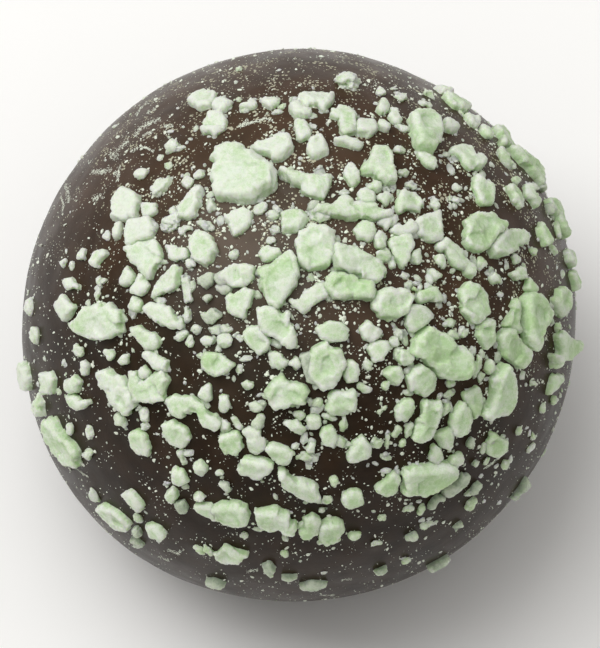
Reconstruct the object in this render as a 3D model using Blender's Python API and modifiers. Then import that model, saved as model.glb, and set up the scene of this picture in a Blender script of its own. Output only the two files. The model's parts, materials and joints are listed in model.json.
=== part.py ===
"""A dark chocolate truffle: an uneven ball on a small poured foot, with crushed mint chips stuck to its coat.

Metres, +Z up. The origin is the middle of the flat underside, and -Y is the front.
The ball is one solid and each large chip is one solid, seated a hair above the coat.
"""

import math
import random
from typing import NamedTuple

import bmesh
import bpy
from mathutils import Matrix, Vector, noise
from mathutils.bvhtree import BVHTree

MM = 0.001

# The ball and its foot
BALL_RADIUS = 15.05 * MM
BALL_MIDDLE = 13.2 * MM  # height of the ball's middle above the underside
FOOT_TOP = 0.9 * MM  # where the ball has settled into a short straight foot
FOOT_ROUND = 0.42 * MM  # radius of the foot's lower edge
FOOT_RADIUS = 8.76 * MM
TURN_STEPS = 48
ARC_STEP = math.radians(6.5)

# How far the hand-rolled ball is from a true one
DIMPLE_DEPTH = 0.16 * MM
DIMPLE_SIZE = 9.0 * MM


class Swell(NamedTuple):
    """A broad rise of the coat, or a hollow if its height is below zero. Its bearing is taken from +X."""

    bearing: float
    elevation: float
    spread: float
    height: float


SWELLS = (
    Swell(math.radians(222), math.radians(-17), math.radians(38), 0.34 * MM),
    Swell(math.radians(318), math.radians(-17), math.radians(32), -0.12 * MM),
)

# The chips were thrown from the front, this far off straight down
THROW_TILT = math.radians(25)
SEAT_GAP = 0.04 * MM
CORNER_DRIFT = 0.18  # how far a corner of a chip's outline strays, as a share of the way to the next


class Kind(NamedTuple):
    """A way of breaking: how many corners the outline has, how square it is (2 is oval, more is boxy, less is
    pointed), how ragged, how much one end narrows, how much the top leans and how far it bends sideways."""

    corners: int
    squareness: float
    ragged: float
    narrowing: float
    lean: float
    bend: float


class Chip(NamedTuple):
    """A chip's kind, its place in millimetres right of and above the ball's middle, seen along the throw, its
    length, width and height in millimetres, and how far it is turned anticlockwise, in degrees."""

    kind: str
    right: float
    up: float
    length: float
    width: float
    height: float
    turn: float


KINDS = {
    "block": Kind(8, 4.5, 0.07, 0.05, 0.12, 0.0),
    "pebble": Kind(9, 2.2, 0.08, 0.12, 0.10, 0.0),
    "plate": Kind(10, 2.6, 0.09, 0.10, 0.06, 0.1),
    "wedge": Kind(8, 2.8, 0.08, 0.42, 0.25, 0.0),
    "leaf": Kind(10, 1.35, 0.06, 0.05, 0.10, 0.15),
    "crag": Kind(11, 2.4, 0.20, 0.10, 0.15, 0.0),
    "curl": Kind(14, 3.0, 0.04, 0.10, 0.05, 1.5),
}

# Rings of corners from the seat to the top: share of the outline, and share of the height
RINGS = ((0.86, 0.0), (1.0, 0.34), (0.93, 0.78), (0.66, 1.0))

CHIPS = (
    # The back slope
    Chip("block", -4.7, 10.75, 1.5, 1.3, 0.7, 20),
    Chip("curl", 0.75, 11.95, 2.5, 0.6, 0.6, 8),
    Chip("block", 2.6, 10.9, 1.8, 1.2, 0.8, 92),
    Chip("wedge", 6.8, 10.35, 2.4, 1.85, 1.0, 95),
    Chip("crag", 8.6, 12.0, 1.6, 1.1, 0.8, -25),
    Chip("leaf", 8.65, 8.95, 2.0, 1.15, 0.7, -38),
    # The largest, by the crown, and its neighbours
    Chip("plate", -3.05, 7.95, 3.5, 3.0, 0.9, 165),
    Chip("wedge", -0.95, 9.65, 1.9, 1.3, 0.9, 200),
    Chip("wedge", 4.35, 8.4, 2.4, 1.45, 0.9, 280),
    Chip("leaf", -5.75, 6.45, 1.7, 1.0, 0.8, 62),
    Chip("block", -3.2, 5.5, 1.5, 1.4, 0.8, 70),
    # The heap in the middle
    Chip("block", 0.95, 3.9, 2.4, 2.0, 1.2, 87),
    Chip("block", 3.25, 3.15, 2.5, 1.5, 1.1, -27),
    Chip("plate", 2.65, 1.55, 2.2, 1.0, 0.8, -4),
    Chip("pebble", -1.1, 2.5, 2.7, 1.9, 1.3, 80),
    Chip("wedge", -0.95, -0.25, 2.2, 1.7, 1.0, 120),
    Chip("crag", -3.3, 2.6, 1.6, 1.2, 1.0, 10),
    Chip("block", -3.2, 1.15, 1.5, 1.4, 0.9, 40),
    Chip("plate", 3.2, 6.15, 2.9, 0.85, 0.7, -5),
    Chip("block", 6.7, 5.05, 1.6, 1.5, 1.0, 10),
    Chip("crag", 5.4, 3.65, 1.5, 1.35, 0.9, 50),
    Chip("leaf", 8.05, 3.4, 2.1, 1.0, 0.8, -45),
    # The left flank
    Chip("block", -9.6, 6.6, 1.6, 1.5, 0.9, 100),
    Chip("block", -8.6, 5.0, 1.5, 1.4, 0.9, 60),
    Chip("leaf", -8.15, 3.15, 2.0, 1.4, 0.7, -60),
    Chip("leaf", -6.8, 2.05, 1.8, 1.0, 0.8, 35),
    Chip("wedge", -4.95, 4.05, 1.7, 1.45, 1.0, 120),
    Chip("leaf", -7.1, 0.45, 2.3, 1.0, 0.7, -27),
    Chip("pebble", -10.7, 0.15, 3.0, 2.05, 1.0, 3),
    Chip("leaf", -12.6, -6.35, 2.7, 1.4, 1.0, -55),
    Chip("crag", -14.85, -2.75, 1.8, 1.4, 1.0, 100),
    # The right flank
    Chip("crag", 9.45, 5.15, 2.3, 1.9, 1.1, 100),
    Chip("wedge", 11.4, 4.35, 1.9, 1.5, 0.9, 205),
    Chip("block", 11.15, 10.0, 1.9, 1.4, 1.1, -45),
    Chip("plate", 12.5, 8.35, 2.3, 1.3, 1.0, -50),
    Chip("plate", 14.15, 5.85, 2.1, 1.1, 0.9, -70),
    Chip("wedge", 12.7, 0.65, 2.7, 1.7, 1.1, -95),
    Chip("leaf", 11.3, -1.45, 2.1, 1.5, 0.9, -40),
    Chip("crag", 14.45, -1.4, 2.0, 1.7, 1.1, 80),
    # Between the middle and the right flank
    Chip("crag", 9.15, 1.2, 2.1, 1.8, 1.1, 90),
    Chip("crag", 4.85, 1.2, 1.9, 1.5, 1.0, 10),
    Chip("block", 6.1, 0.45, 1.3, 1.2, 0.9, 40),
    Chip("plate", 7.6, -1.5, 3.6, 2.3, 0.8, -32),
    Chip("pebble", 6.2, -3.1, 1.7, 1.5, 0.9, 90),
    Chip("curl", 10.75, -3.6, 2.7, 1.1, 0.9, -85),
    Chip("pebble", 8.6, -4.8, 2.1, 1.3, 0.9, 72),
    Chip("block", 6.6, -5.25, 2.2, 1.3, 1.0, 72),
    Chip("block", 6.85, -8.25, 3.2, 1.5, 1.0, 13),
    # The front slope
    Chip("pebble", 1.6, -2.2, 2.5, 1.35, 1.1, 85),
    Chip("crag", -0.7, -3.6, 2.2, 1.7, 1.0, -10),
    Chip("crag", -4.35, -2.15, 1.7, 1.3, 0.9, 0),
    Chip("wedge", -9.7, -3.55, 2.4, 1.45, 1.1, 125),
    Chip("curl", -7.55, -3.3, 2.1, 1.1, 0.9, 180),
    Chip("curl", -5.45, -4.45, 3.3, 0.75, 0.7, -28),
    Chip("pebble", -2.35, -7.5, 1.85, 1.35, 0.8, -5),
    Chip("block", -3.55, -9.95, 2.2, 1.6, 0.9, 3),
    Chip("wedge", -1.2, -10.35, 2.2, 1.35, 0.9, -28),
    Chip("leaf", -9.85, -10.2, 2.1, 1.1, 0.8, -35),
)

CHOCOLATE = (0.045, 0.026, 0.018, 1.0)
MINT = (0.62, 0.74, 0.47, 1.0)


def clear_scene():
    for obj in list(bpy.data.objects):
        bpy.data.objects.remove(obj)


def new_collection(name):
    collection = bpy.data.collections.new(name)
    bpy.context.scene.collection.children.link(collection)
    return collection


def plain_material(name, colour, roughness):
    material = bpy.data.materials.new(name)
    material.use_nodes = True
    shader = material.node_tree.nodes["Principled BSDF"]
    shader.inputs["Base Color"].default_value = colour
    shader.inputs["Roughness"].default_value = roughness
    shader.inputs["Metallic"].default_value = 0.0
    return material


def ball_profile():
    """(radius, height) points from the crown down the ball, round the foot's edge and in to the axis."""
    last_angle = math.acos((FOOT_TOP - BALL_MIDDLE) / BALL_RADIUS)
    steps = math.ceil(last_angle / ARC_STEP)
    points = []
    for step in range(steps + 1):
        angle = last_angle * step / steps
        points.append((BALL_RADIUS * math.sin(angle), BALL_MIDDLE + BALL_RADIUS * math.cos(angle)))
    for degrees in (20, -20, -55, -90):
        angle = math.radians(degrees)
        radius = FOOT_RADIUS - FOOT_ROUND + FOOT_ROUND * math.cos(angle)
        points.append((radius, FOOT_ROUND + FOOT_ROUND * math.sin(angle)))
    points.append((0.0, 0.0))
    return points


def uneven(point):
    """The point moved as hand rolling leaves it: swollen here and there and gently dimpled, but not at the
    foot."""
    share = min(1.0, max(0.0, (point.z - FOOT_TOP) / BALL_RADIUS * 2))
    outward = (point - Vector((0, 0, BALL_MIDDLE))).normalized()
    rise = DIMPLE_DEPTH * noise.noise(point / DIMPLE_SIZE)
    for swell in SWELLS:
        level = Vector((math.cos(swell.bearing), math.sin(swell.bearing), 0)) * math.cos(swell.elevation)
        middle = level + Vector((0, 0, math.sin(swell.elevation)))
        rise += swell.height * math.exp(-((outward.angle(middle) / swell.spread) ** 2))
    return point + outward * rise * share


def make_ball(collection, material):
    profile = bpy.data.meshes.new("truffle_profile")
    points = [(radius, 0.0, height) for radius, height in ball_profile()]
    edges = [(i, i + 1) for i in range(len(points) - 1)]
    profile.from_pydata(points, edges, [])
    turned = bpy.data.objects.new("truffle_profile", profile)
    collection.objects.link(turned)
    screw = turned.modifiers.new("Turn", "SCREW")
    screw.steps = TURN_STEPS
    screw.render_steps = TURN_STEPS
    screw.use_merge_vertices = True
    screw.merge_threshold = 0.01 * MM
    graph = bpy.context.evaluated_depsgraph_get()
    mesh = bpy.data.meshes.new_from_object(turned.evaluated_get(graph))
    bpy.data.objects.remove(turned)
    for vertex in mesh.vertices:
        vertex.co = uneven(vertex.co)
    mesh.name = "truffle"
    mesh.shade_smooth()
    mesh.materials.clear()
    mesh.materials.append(material)
    ball = bpy.data.objects.new("truffle", mesh)
    collection.objects.link(ball)
    return ball


def surface_of(ball):
    """A tree of the ball's faces, for laying chips on."""
    shape = bmesh.new()
    shape.from_mesh(ball.data)
    tree = BVHTree.FromBMesh(shape)
    shape.free()
    return tree


def landing(chip, tree):
    """The matrix that carries a chip from its own axes to where its seat touches the coat. The place in the
    list is that of the chip's middle, so the throw is aimed at a ball larger by half the chip's height."""
    towards = Vector((0, -math.sin(THROW_TILT), math.cos(THROW_TILT)))
    right = Vector((1, 0, 0))
    middle = Vector((0, 0, BALL_MIDDLE))
    across = (right * chip.right + towards.cross(right) * chip.up) * MM
    reach = BALL_RADIUS + chip.height * MM / 2
    depth = math.sqrt(max(reach**2 - across.length_squared, 0.0))
    outward = (across + towards * depth).normalized()
    spot, normal, _, _ = tree.ray_cast(middle + outward * 2 * BALL_RADIUS, -outward)
    along = (right - normal * right.dot(normal)).normalized()
    across_seat = normal.cross(along)
    axes = Matrix((along, across_seat, normal)).transposed()
    place = Matrix.Translation(spot + normal * SEAT_GAP) @ axes.to_4x4()
    return place @ Matrix.Rotation(math.radians(chip.turn), 4, "Z")


def outline_points(chip, rng):
    """The chip's corners, anticlockwise, with its length along X."""
    kind = KINDS[chip.kind]
    points = []
    for corner in range(kind.corners):
        angle = math.tau * (corner + 0.5 + rng.uniform(-CORNER_DRIFT, CORNER_DRIFT)) / kind.corners
        c, s = math.cos(angle), math.sin(angle)
        reach = (abs(c) ** kind.squareness + abs(s) ** kind.squareness) ** (-1 / kind.squareness)
        reach *= 1 - rng.uniform(0, 2 * kind.ragged)
        narrow = 1 - kind.narrowing * (c * reach + 1) / 2
        points.append(Vector((c * reach, s * reach * narrow, 0)))
    for axis, size in enumerate((chip.length, chip.width)):
        low = min(point[axis] for point in points)
        high = max(point[axis] for point in points)
        for point in points:
            point[axis] = ((point[axis] - low) / (high - low) - 0.5) * size * MM
    return points


def bent(point, chip):
    """The point carried round a sideways bend that turns the chip's length through its kind's angle."""
    bend = KINDS[chip.kind].bend
    if not bend:
        return point
    radius = chip.length * MM / bend
    angle = point.x / radius
    reach = radius + point.y
    return Vector((reach * math.sin(angle), reach * math.cos(angle) - radius, point.z))


def ring_of_corners(chip, outline, share, rise, rng):
    """The outline drawn in to a share of its size and lifted to a share of the chip's height, on its lean."""
    kind = KINDS[chip.kind]
    lean_share = kind.lean if rise > 0.5 else 0.0
    loose_share = kind.ragged * 0.6 if rise > 0.0 else 0.0
    for corner in outline:
        place = corner * share * (1 + rng.uniform(-loose_share, loose_share))
        along = place.x / (chip.length * MM / 2)
        place.z = chip.height * MM * rise * (1 - lean_share * (1 + along) / 2)
        yield bent(place, chip)


def chip_mesh(name, chip, rng):
    """Rings of corners from the flat seat up to the top, skinned and capped."""
    outline = outline_points(chip, rng)
    shape = bmesh.new()
    rings = []
    for share, rise in RINGS:
        rings.append([shape.verts.new(place) for place in ring_of_corners(chip, outline, share, rise, rng)])
    for lower, upper in zip(rings, rings[1:]):
        for i in range(len(lower)):
            j = (i + 1) % len(lower)
            shape.faces.new((lower[i], lower[j], upper[j], upper[i]))
    shape.faces.new(reversed(rings[0]))
    shape.faces.new(rings[-1])
    mesh = bpy.data.meshes.new(name)
    shape.to_mesh(mesh)
    shape.free()
    return mesh


def lay_chips(tree, collection, material):
    for number, chip in enumerate(CHIPS, 1):
        name = f"mint_{chip.kind}_{number:02d}"
        mesh = chip_mesh(name, chip, random.Random(number))
        mesh.materials.append(material)
        obj = bpy.data.objects.new(name, mesh)
        obj.matrix_world = landing(chip, tree)
        collection.objects.link(obj)


def main():
    clear_scene()
    collection = new_collection("chocolate_truffle")
    ball = make_ball(collection, plain_material("dark_chocolate", CHOCOLATE, 0.35))
    mint = plain_material("mint", MINT, 0.6)
    lay_chips(surface_of(ball), collection, mint)


main()
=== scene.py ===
"""A dark chocolate truffle strewn with crushed mint: coat, broken chips, crumbs, grit and dust, on a stage.

Shapes are worked out in millimetres and written to meshes in metres. +Z is up and -Y is the front.
"""

import itertools
import json
import math
import random
from typing import NamedTuple

import bmesh
import bpy
import numpy as np
from mathutils import Matrix, Vector, noise
from mathutils.bvhtree import BVHTree

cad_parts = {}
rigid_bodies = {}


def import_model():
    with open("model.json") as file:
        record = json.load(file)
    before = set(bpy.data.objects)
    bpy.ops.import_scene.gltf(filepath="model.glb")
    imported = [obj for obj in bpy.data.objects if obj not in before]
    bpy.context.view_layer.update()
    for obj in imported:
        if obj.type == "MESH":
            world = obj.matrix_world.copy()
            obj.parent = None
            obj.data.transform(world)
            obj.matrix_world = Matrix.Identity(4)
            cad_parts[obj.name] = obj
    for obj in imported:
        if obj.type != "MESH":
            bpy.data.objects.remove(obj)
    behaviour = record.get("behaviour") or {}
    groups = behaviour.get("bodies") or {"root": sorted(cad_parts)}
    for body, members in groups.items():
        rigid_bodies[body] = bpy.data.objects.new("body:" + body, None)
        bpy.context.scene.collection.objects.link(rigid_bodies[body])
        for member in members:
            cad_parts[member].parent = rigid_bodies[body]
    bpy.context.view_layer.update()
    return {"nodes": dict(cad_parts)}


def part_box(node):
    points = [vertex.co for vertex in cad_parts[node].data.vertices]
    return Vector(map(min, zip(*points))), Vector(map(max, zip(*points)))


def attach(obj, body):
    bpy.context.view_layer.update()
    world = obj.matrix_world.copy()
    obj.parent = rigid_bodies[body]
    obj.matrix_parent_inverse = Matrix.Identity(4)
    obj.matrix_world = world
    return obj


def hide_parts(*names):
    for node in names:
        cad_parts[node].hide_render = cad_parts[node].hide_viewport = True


bl_info = {
    "name": "Chocolate Truffle with Crushed Mint",
    "version": (1, 0, 0),
    "blender": (4, 5, 0),
    "location": "View3D > Sidebar > Truffle",
    "description": "Builds a chocolate truffle with broken mint chips, crumbs and dust, and a plain stage",
    "category": "Object",
}

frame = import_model()

MM = 0.001
BODY = "root"
BALL_NODE = "truffle"
CHIP_NODE_START = "mint_"
COAT_SLOT = "dark_chocolate"
MINT_SLOT = "mint"

BALL_TOP = (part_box(BALL_NODE)[1] / MM).z
BALL_RADIUS = 15.05
BALL_MIDDLE = Vector((0, 0, BALL_TOP - BALL_RADIUS))
VIEW_TILT = math.radians(25)  # the front view looks down, this far off straight down
TOWARDS = Vector((0, -math.sin(VIEW_TILT), math.cos(VIEW_TILT)))
RIGHT = Vector((1, 0, 0))
UP = TOWARDS.cross(RIGHT)

# The coat's form, as the solid has it
FOOT_TOP = 0.9
FOOT_ROUND = 0.42
FOOT_RADIUS = 8.76
DIMPLE_DEPTH = 0.16
DIMPLE_SIZE = 9.0
SWELLS = (  # bearing and elevation of the middle, spread, height
    (math.radians(222), math.radians(-17), math.radians(38), 0.34),
    (math.radians(318), math.radians(-17), math.radians(32), -0.12),
)

# The upper left side, which is slightly flat
FLAT_SIDE = (UP - 0.35 * RIGHT).normalized()
FLAT_DEPTH = 0.2
FLAT_SPREAD = math.radians(50)

# The coat's skin: low waves and finer ones, each a height and a size, and the ridge that creeps up each chip
WAVES = (0.035, 2.4)
FINE_WAVES = (0.012, 0.8)
RIDGE_HEIGHT = 0.05
RIDGE_REACH = 0.5

# Where crushed mint gathers: round the chips, and in drifts and smaller patches of these sizes
DRIFT_REACH = 0.9
DRIFT_SIZE = 2.6
PATCH_SIZE = 1.1
# Middle and spread, right and up, of a painted sheen patch on the coat that stands in for the key softbox's
# reflection
SHEEN_PATCH_MIDDLE = (-2.6, 4.0)  # right and up
SHEEN_PATCH_SPREAD = (4.6, 6.0)

# A chip's rough radius goes this many times into its solid's diagonal, and into a small chip's length
DIAGONAL_TO_RADIUS = 3.2
LENGTH_TO_RADIUS = 2.6

# Chips with outlines: least and most height, how far the foot is sunk, and how much coarser small ones are
OUTLINED_HEIGHTS = (0.35, 0.9)
FOOT_SUNK = 0.3
SMALL_OUTLINE_CELL = 1.2
SMALL_OUTLINE_SEED = 100  # past the large chips' numbers, which are their seeds
STEEPEST = 0.985  # sine of the slant at the rim, where an outline is laid no steeper

# Small chips longer than this are cut from the finer of two spheres
FINE_LENGTH = 1.0
SPHERE_LEVELS = (3, 4)

# The far side's small chips stay above this height, from -1 to 1, and out of the front view by this much
FAR_LOWEST = -0.62
FAR_FACING = -0.2

# Rubbed marks: flecks to each millimetre of length, more for each millimetre of width, and their sizes
SCUFF_SEED = 5
SCUFF_FLECKS = (60, 700)
FLECK_SIZES = (0.03, 0.09)
RIM_GAP = 0.1  # no fleck lies nearer the rim of the ball than this, as the front view has it


class Kind(NamedTuple):
    """How a small chip broke: corners round its side, how square it is, how ragged, and how flat its top."""

    corners: int
    squareness: float
    ragged: float
    flatness: float


class Chip(NamedTuple):
    """A small chip: its kind, how far right of the ball's middle and up it lies, length, width and turn."""

    kind: str
    right: float
    up: float
    length: float
    width: float
    turn: float


class Facet(NamedTuple):
    """How skin breaks: the facets' spacing, how far they lean, how deep they start, and most travel in mm."""

    spacing: float
    lean: float
    depth: float
    limit: float


class Scatter(NamedTuple):
    """How one size of crushed mint is strewn, by the names that its settings group uses."""

    density: float
    smallest: float
    largest: float
    rarity: float
    tilt: float
    seed: int


SCATTERS = {
    "crumbs": Scatter(5.2, 0.28, 0.9, 2.2, 0.5, 11),
    "grit": Scatter(12.0, 0.12, 0.36, 2.0, 0.8, 23),
    "dust": Scatter(16.5, 0.05, 0.19, 2.4, 1.0, 37),
}

LARGE_FACETS = (Facet(1.1, 0.15, 0.0, 0.09), Facet(0.45, 0.12, 0.0, 0.02))
SMALL_FACETS = (Facet(0.5, 0.2, 0.0, 0.08), Facet(0.25, 0.16, 0.0, 0.03))

# Notches down a chip's sides, each a depth and a width
LARGE_NOTCHES = ((0.06, 0.5), (0.05, 0.24), (0.03, 0.13))
SMALL_NOTCHES = ((0.09, 0.6), (0.06, 0.3), (0.03, 0.18))

KINDS = {
    "block": Kind(5, 4.0, 0.06, 0.75),
    "pebble": Kind(9, 2.1, 0.10, 0.35),
    "shard": Kind(4, 1.5, 0.10, 0.60),
    "popcorn": Kind(8, 2.0, 0.34, 0.20),
}

# Small chips: kind, right, up, length, width and turn in degrees
SMALL_CHIPS = tuple(Chip(*row) for row in (
    ("popcorn", 2.5, 13.2, 1.5, 1.2, 0),
    ("pebble", 9.6, 8.7, 0.8, 0.6, 0),
    ("block", 11.1, 9.0, 1.3, 0.8, -30),
    ("shard", -0.6, 7.9, 1.5, 0.55, -22),
    ("shard", 4.0, 7.3, 1.0, 0.6, 40),
    ("block", -7.4, 7.4, 1.3, 0.75, 48),
    ("popcorn", -6.9, 9.6, 1.0, 0.8, 30),
    ("pebble", -8.5, 8.1, 0.7, 0.6, 0),
    ("shard", -4.1, 7.6, 0.5, 0.4, 0),
    ("block", -4.7, 6.3, 0.8, 0.45, 70),
    ("block", -7.8, 5.1, 0.9, 0.5, 88),
    ("popcorn", -6.9, 5.3, 1.2, 0.8, 0),
    ("shard", -4.9, 5.2, 0.8, 0.4, -35),
    ("shard", -3.9, -0.3, 0.9, 0.35, 0),
    ("pebble", -4.0, -0.9, 0.7, 0.6, 0),
    ("block", 1.2, 5.85, 1.4, 0.8, 10),
    ("popcorn", 4.4, 3.6, 0.8, 0.7, 0),
    ("shard", 7.1, 2.6, 0.9, 0.7, 0),
    ("pebble", 5.55, -1.7, 1.1, 0.9, 0),
    ("shard", 3.9, -6.2, 0.5, 0.3, 40),
    ("pebble", -11.3, -7.0, 0.5, 0.4, 0),
    ("block", -14.0, -4.4, 1.5, 0.9, -65),
    ("pebble", -14.3, -0.6, 1.0, 0.7, 80),
    ("pebble", -14.6, 0.9, 1.0, 0.6, 88),
    ("shard", -6.2, -7.0, 0.9, 0.4, -60),
    ("shard", -11.0, -9.2, 0.9, 0.4, -60),
    ("shard", -5.3, -12.0, 0.8, 0.4, -50),
    ("popcorn", 9.2, -9.6, 0.9, 0.5, 40),
    ("popcorn", 2.4, 6.9, 0.6, 0.5, 0),
    ("shard", 4.5, 6.7, 0.9, 0.7, 40),
    ("pebble", 5.5, 12.3, 0.6, 0.5, 60),
    ("shard", 7.0, 12.5, 0.8, 0.5, 20),
    ("pebble", 6.8, 11.9, 0.7, 0.4, 0),
    ("shard", 4.4, 12.5, 0.6, 0.5, 60),
    ("block", 5.5, 8.1, 0.7, 0.5, 70),
    ("shard", 5.9, 7.3, 0.8, 0.4, 10),
    ("block", 5.3, 9.3, 0.6, 0.5, 20),
    ("shard", 5.5, 10.5, 0.9, 0.4, -10),
    ("block", 7.2, 6.3, 0.6, 0.5, 80),
    ("shard", 8.4, 7.3, 0.5, 0.4, 0),
    ("shard", 8.3, 6.6, 0.5, 0.4, -40),
    ("pebble", 11.6, 7.7, 0.6, 0.4, 30),
    ("pebble", 11.4, 8.5, 0.5, 0.3, -60),
    ("pebble", 12.5, 3.9, 0.5, 0.4, 0),
    ("pebble", 13.6, 4.0, 0.8, 0.4, -10),
    ("pebble", 13.8, 5.1, 1.0, 0.4, -65),
    ("pebble", 13.9, -0.1, 0.5, 0.4, 80),
    ("pebble", 9.6, 3.2, 0.7, 0.5, 70),
    ("shard", 10.4, 2.4, 0.9, 0.6, -35),
    ("pebble", 11.5, 3.4, 0.6, 0.4, 20),
    ("pebble", 6.9, 2.5, 0.8, 0.4, 80),
    ("pebble", 6.1, 3.6, 0.8, 0.6, 70),
    ("pebble", 4.8, 3.3, 0.6, 0.3, 100),
    ("pebble", 5.7, 2.0, 0.5, 0.4, 30),
    ("shard", 3.6, -2.2, 0.8, 0.5, -40),
    ("shard", 3.4, -3.4, 0.8, 0.4, -20),
    ("shard", 4.5, -3.2, 0.4, 0.3, 60),
    ("shard", 4.3, -4.5, 0.7, 0.2, 35),
    ("shard", 1.6, -4.9, 0.9, 0.3, -30),
    ("pebble", 2.3, -5.2, 0.8, 0.4, 80),
    ("shard", 2.1, -6.2, 0.8, 0.5, -40),
    ("popcorn", 4.1, -6.3, 0.7, 0.5, 0),
    ("popcorn", 4.6, -6.1, 1.0, 0.3, 90),
    ("pebble", 5.1, -5.7, 0.5, 0.3, 60),
    ("pebble", 5.4, -6.3, 0.4, 0.3, 30),
    ("block", 5.7, -5.6, 0.8, 0.5, 70),
    ("shard", 5.2, -0.5, 0.8, 0.4, -70),
    ("pebble", 5.0, -0.9, 0.5, 0.4, 0),
    ("block", 7.7, -4.5, 0.8, 0.5, 60),
    ("pebble", 8.0, -3.1, 0.5, 0.4, 0),
    ("popcorn", 7.9, -3.7, 0.8, 0.3, 20),
    ("pebble", 9.6, -2.8, 0.6, 0.4, 60),
    ("shard", 9.4, -2.2, 1.5, 0.5, 80),
    ("shard", 8.1, -0.6, 0.8, 0.4, -10),
    ("shard", 8.7, -0.5, 0.6, 0.4, 30),
    ("popcorn", 7.9, 0.0, 0.7, 0.5, 0),
    ("block", 11.0, -7.5, 0.6, 0.5, 20),
    ("pebble", 9.8, -6.6, 0.5, 0.3, 80),
    ("pebble", 9.1, -9.0, 0.5, 0.4, 0),
    ("pebble", 5.8, -9.9, 0.5, 0.3, 0),
    ("popcorn", 6.5, -9.9, 0.7, 0.4, 50),
    ("pebble", 4.4, -10.3, 0.4, 0.3, 0),
    ("pebble", 6.6, -10.8, 0.4, 0.3, 80),
    ("popcorn", 4.1, -11.7, 0.6, 0.3, -10),
    ("pebble", 5.7, -12.7, 0.5, 0.3, 0),
    ("shard", 12.6, -6.0, 0.4, 0.3, 60),
    ("pebble", 13.1, -4.6, 0.5, 0.3, 80),
    ("pebble", 13.7, -4.1, 0.4, 0.3, 60),
    ("pebble", 11.7, -5.7, 0.4, 0.3, 0),
    ("pebble", 12.5, -3.2, 0.4, 0.3, 0),
    ("shard", -5.4, 8.0, 0.7, 0.5, 30),
    ("pebble", -6.0, 7.6, 0.6, 0.5, 80),
    ("shard", -6.1, 5.0, 0.9, 0.4, 5),
    ("shard", -5.1, 5.3, 0.9, 0.4, -30),
    ("popcorn", -2.1, 6.1, 1.0, 0.6, 20),
    ("popcorn", -1.4, 5.8, 0.6, 0.5, 0),
    ("popcorn", -1.3, 5.0, 0.5, 0.4, 0),
    ("popcorn", -1.5, 4.4, 0.5, 0.4, 0),
    ("popcorn", -3.5, 3.7, 0.6, 0.4, 40),
    ("shard", -6.0, 1.9, 1.6, 0.4, 100),
    ("popcorn", -6.0, 0.5, 0.9, 0.5, 80),
    ("popcorn", -5.5, -0.3, 0.5, 0.4, 80),
    ("shard", -4.5, -0.3, 0.9, 0.4, -5),
    ("pebble", -4.9, -0.9, 0.7, 0.5, 0),
    ("pebble", -5.8, -0.9, 0.6, 0.4, 80),
    ("popcorn", -6.3, -0.6, 0.8, 0.5, 20),
    ("pebble", -5.8, 3.2, 0.6, 0.5, 0),
    ("shard", -7.4, 1.3, 0.7, 0.3, -15),
    ("pebble", -6.8, 5.5, 1.1, 0.6, 10),
    ("pebble", -11.6, 3.7, 0.6, 0.5, 50),
    ("pebble", -12.6, 3.2, 0.6, 0.4, 60),
    ("pebble", -12.1, 3.1, 0.4, 0.2, 70),
    ("popcorn", -10.7, 1.6, 0.7, 0.4, 70),
    ("popcorn", -10.6, 2.2, 0.6, 0.3, 90),
    ("pebble", -10.3, 4.7, 0.5, 0.3, 80),
    ("pebble", -10.0, -1.6, 0.7, 0.6, -20),
    ("pebble", -11.8, -1.4, 0.8, 0.6, -30),
    ("shard", -9.5, -5.1, 0.7, 0.6, -50),
    ("block", -8.2, -4.8, 0.7, 0.5, -70),
    ("pebble", -11.1, -5.8, 0.8, 0.4, -70),
    ("pebble", -12.2, -5.5, 0.7, 0.4, 80),
    ("block", -11.2, -6.9, 0.8, 0.5, 70),
    ("shard", -11.0, -9.1, 0.9, 0.5, -55),
    ("pebble", -8.6, -10.3, 0.5, 0.4, -70),
    ("block", -3.9, -5.4, 0.6, 0.5, 80),
    ("shard", -3.3, -5.2, 0.8, 0.3, -50),
    ("pebble", -2.2, -5.2, 0.8, 0.5, 70),
    ("pebble", -2.3, -4.4, 0.7, 0.5, -40),
    ("pebble", -2.7, -3.2, 0.6, 0.4, 20),
    ("pebble", -3.2, -2.4, 0.5, 0.3, 70),
    ("pebble", 0.0, -4.8, 0.6, 0.5, -20),
    ("pebble", 0.9, -4.2, 0.6, 0.5, 0),
    ("shard", 0.4, -7.0, 1.3, 0.4, 5),
    ("pebble", -4.2, -7.8, 0.5, 0.2, 0),
    ("pebble", -0.8, -12.2, 0.4, 0.3, 0),
    ("pebble", -2.9, -11.2, 0.4, 0.3, -60),
    ("pebble", 1.2, -9.8, 0.5, 0.2, 15),
    ("pebble", 1.4, -9.3, 0.4, 0.3, 0),
    ("pebble", 1.8, -8.3, 0.4, 0.4, 0),
    ("pebble", -4.9, -12.0, 0.8, 0.4, -60),
))

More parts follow.
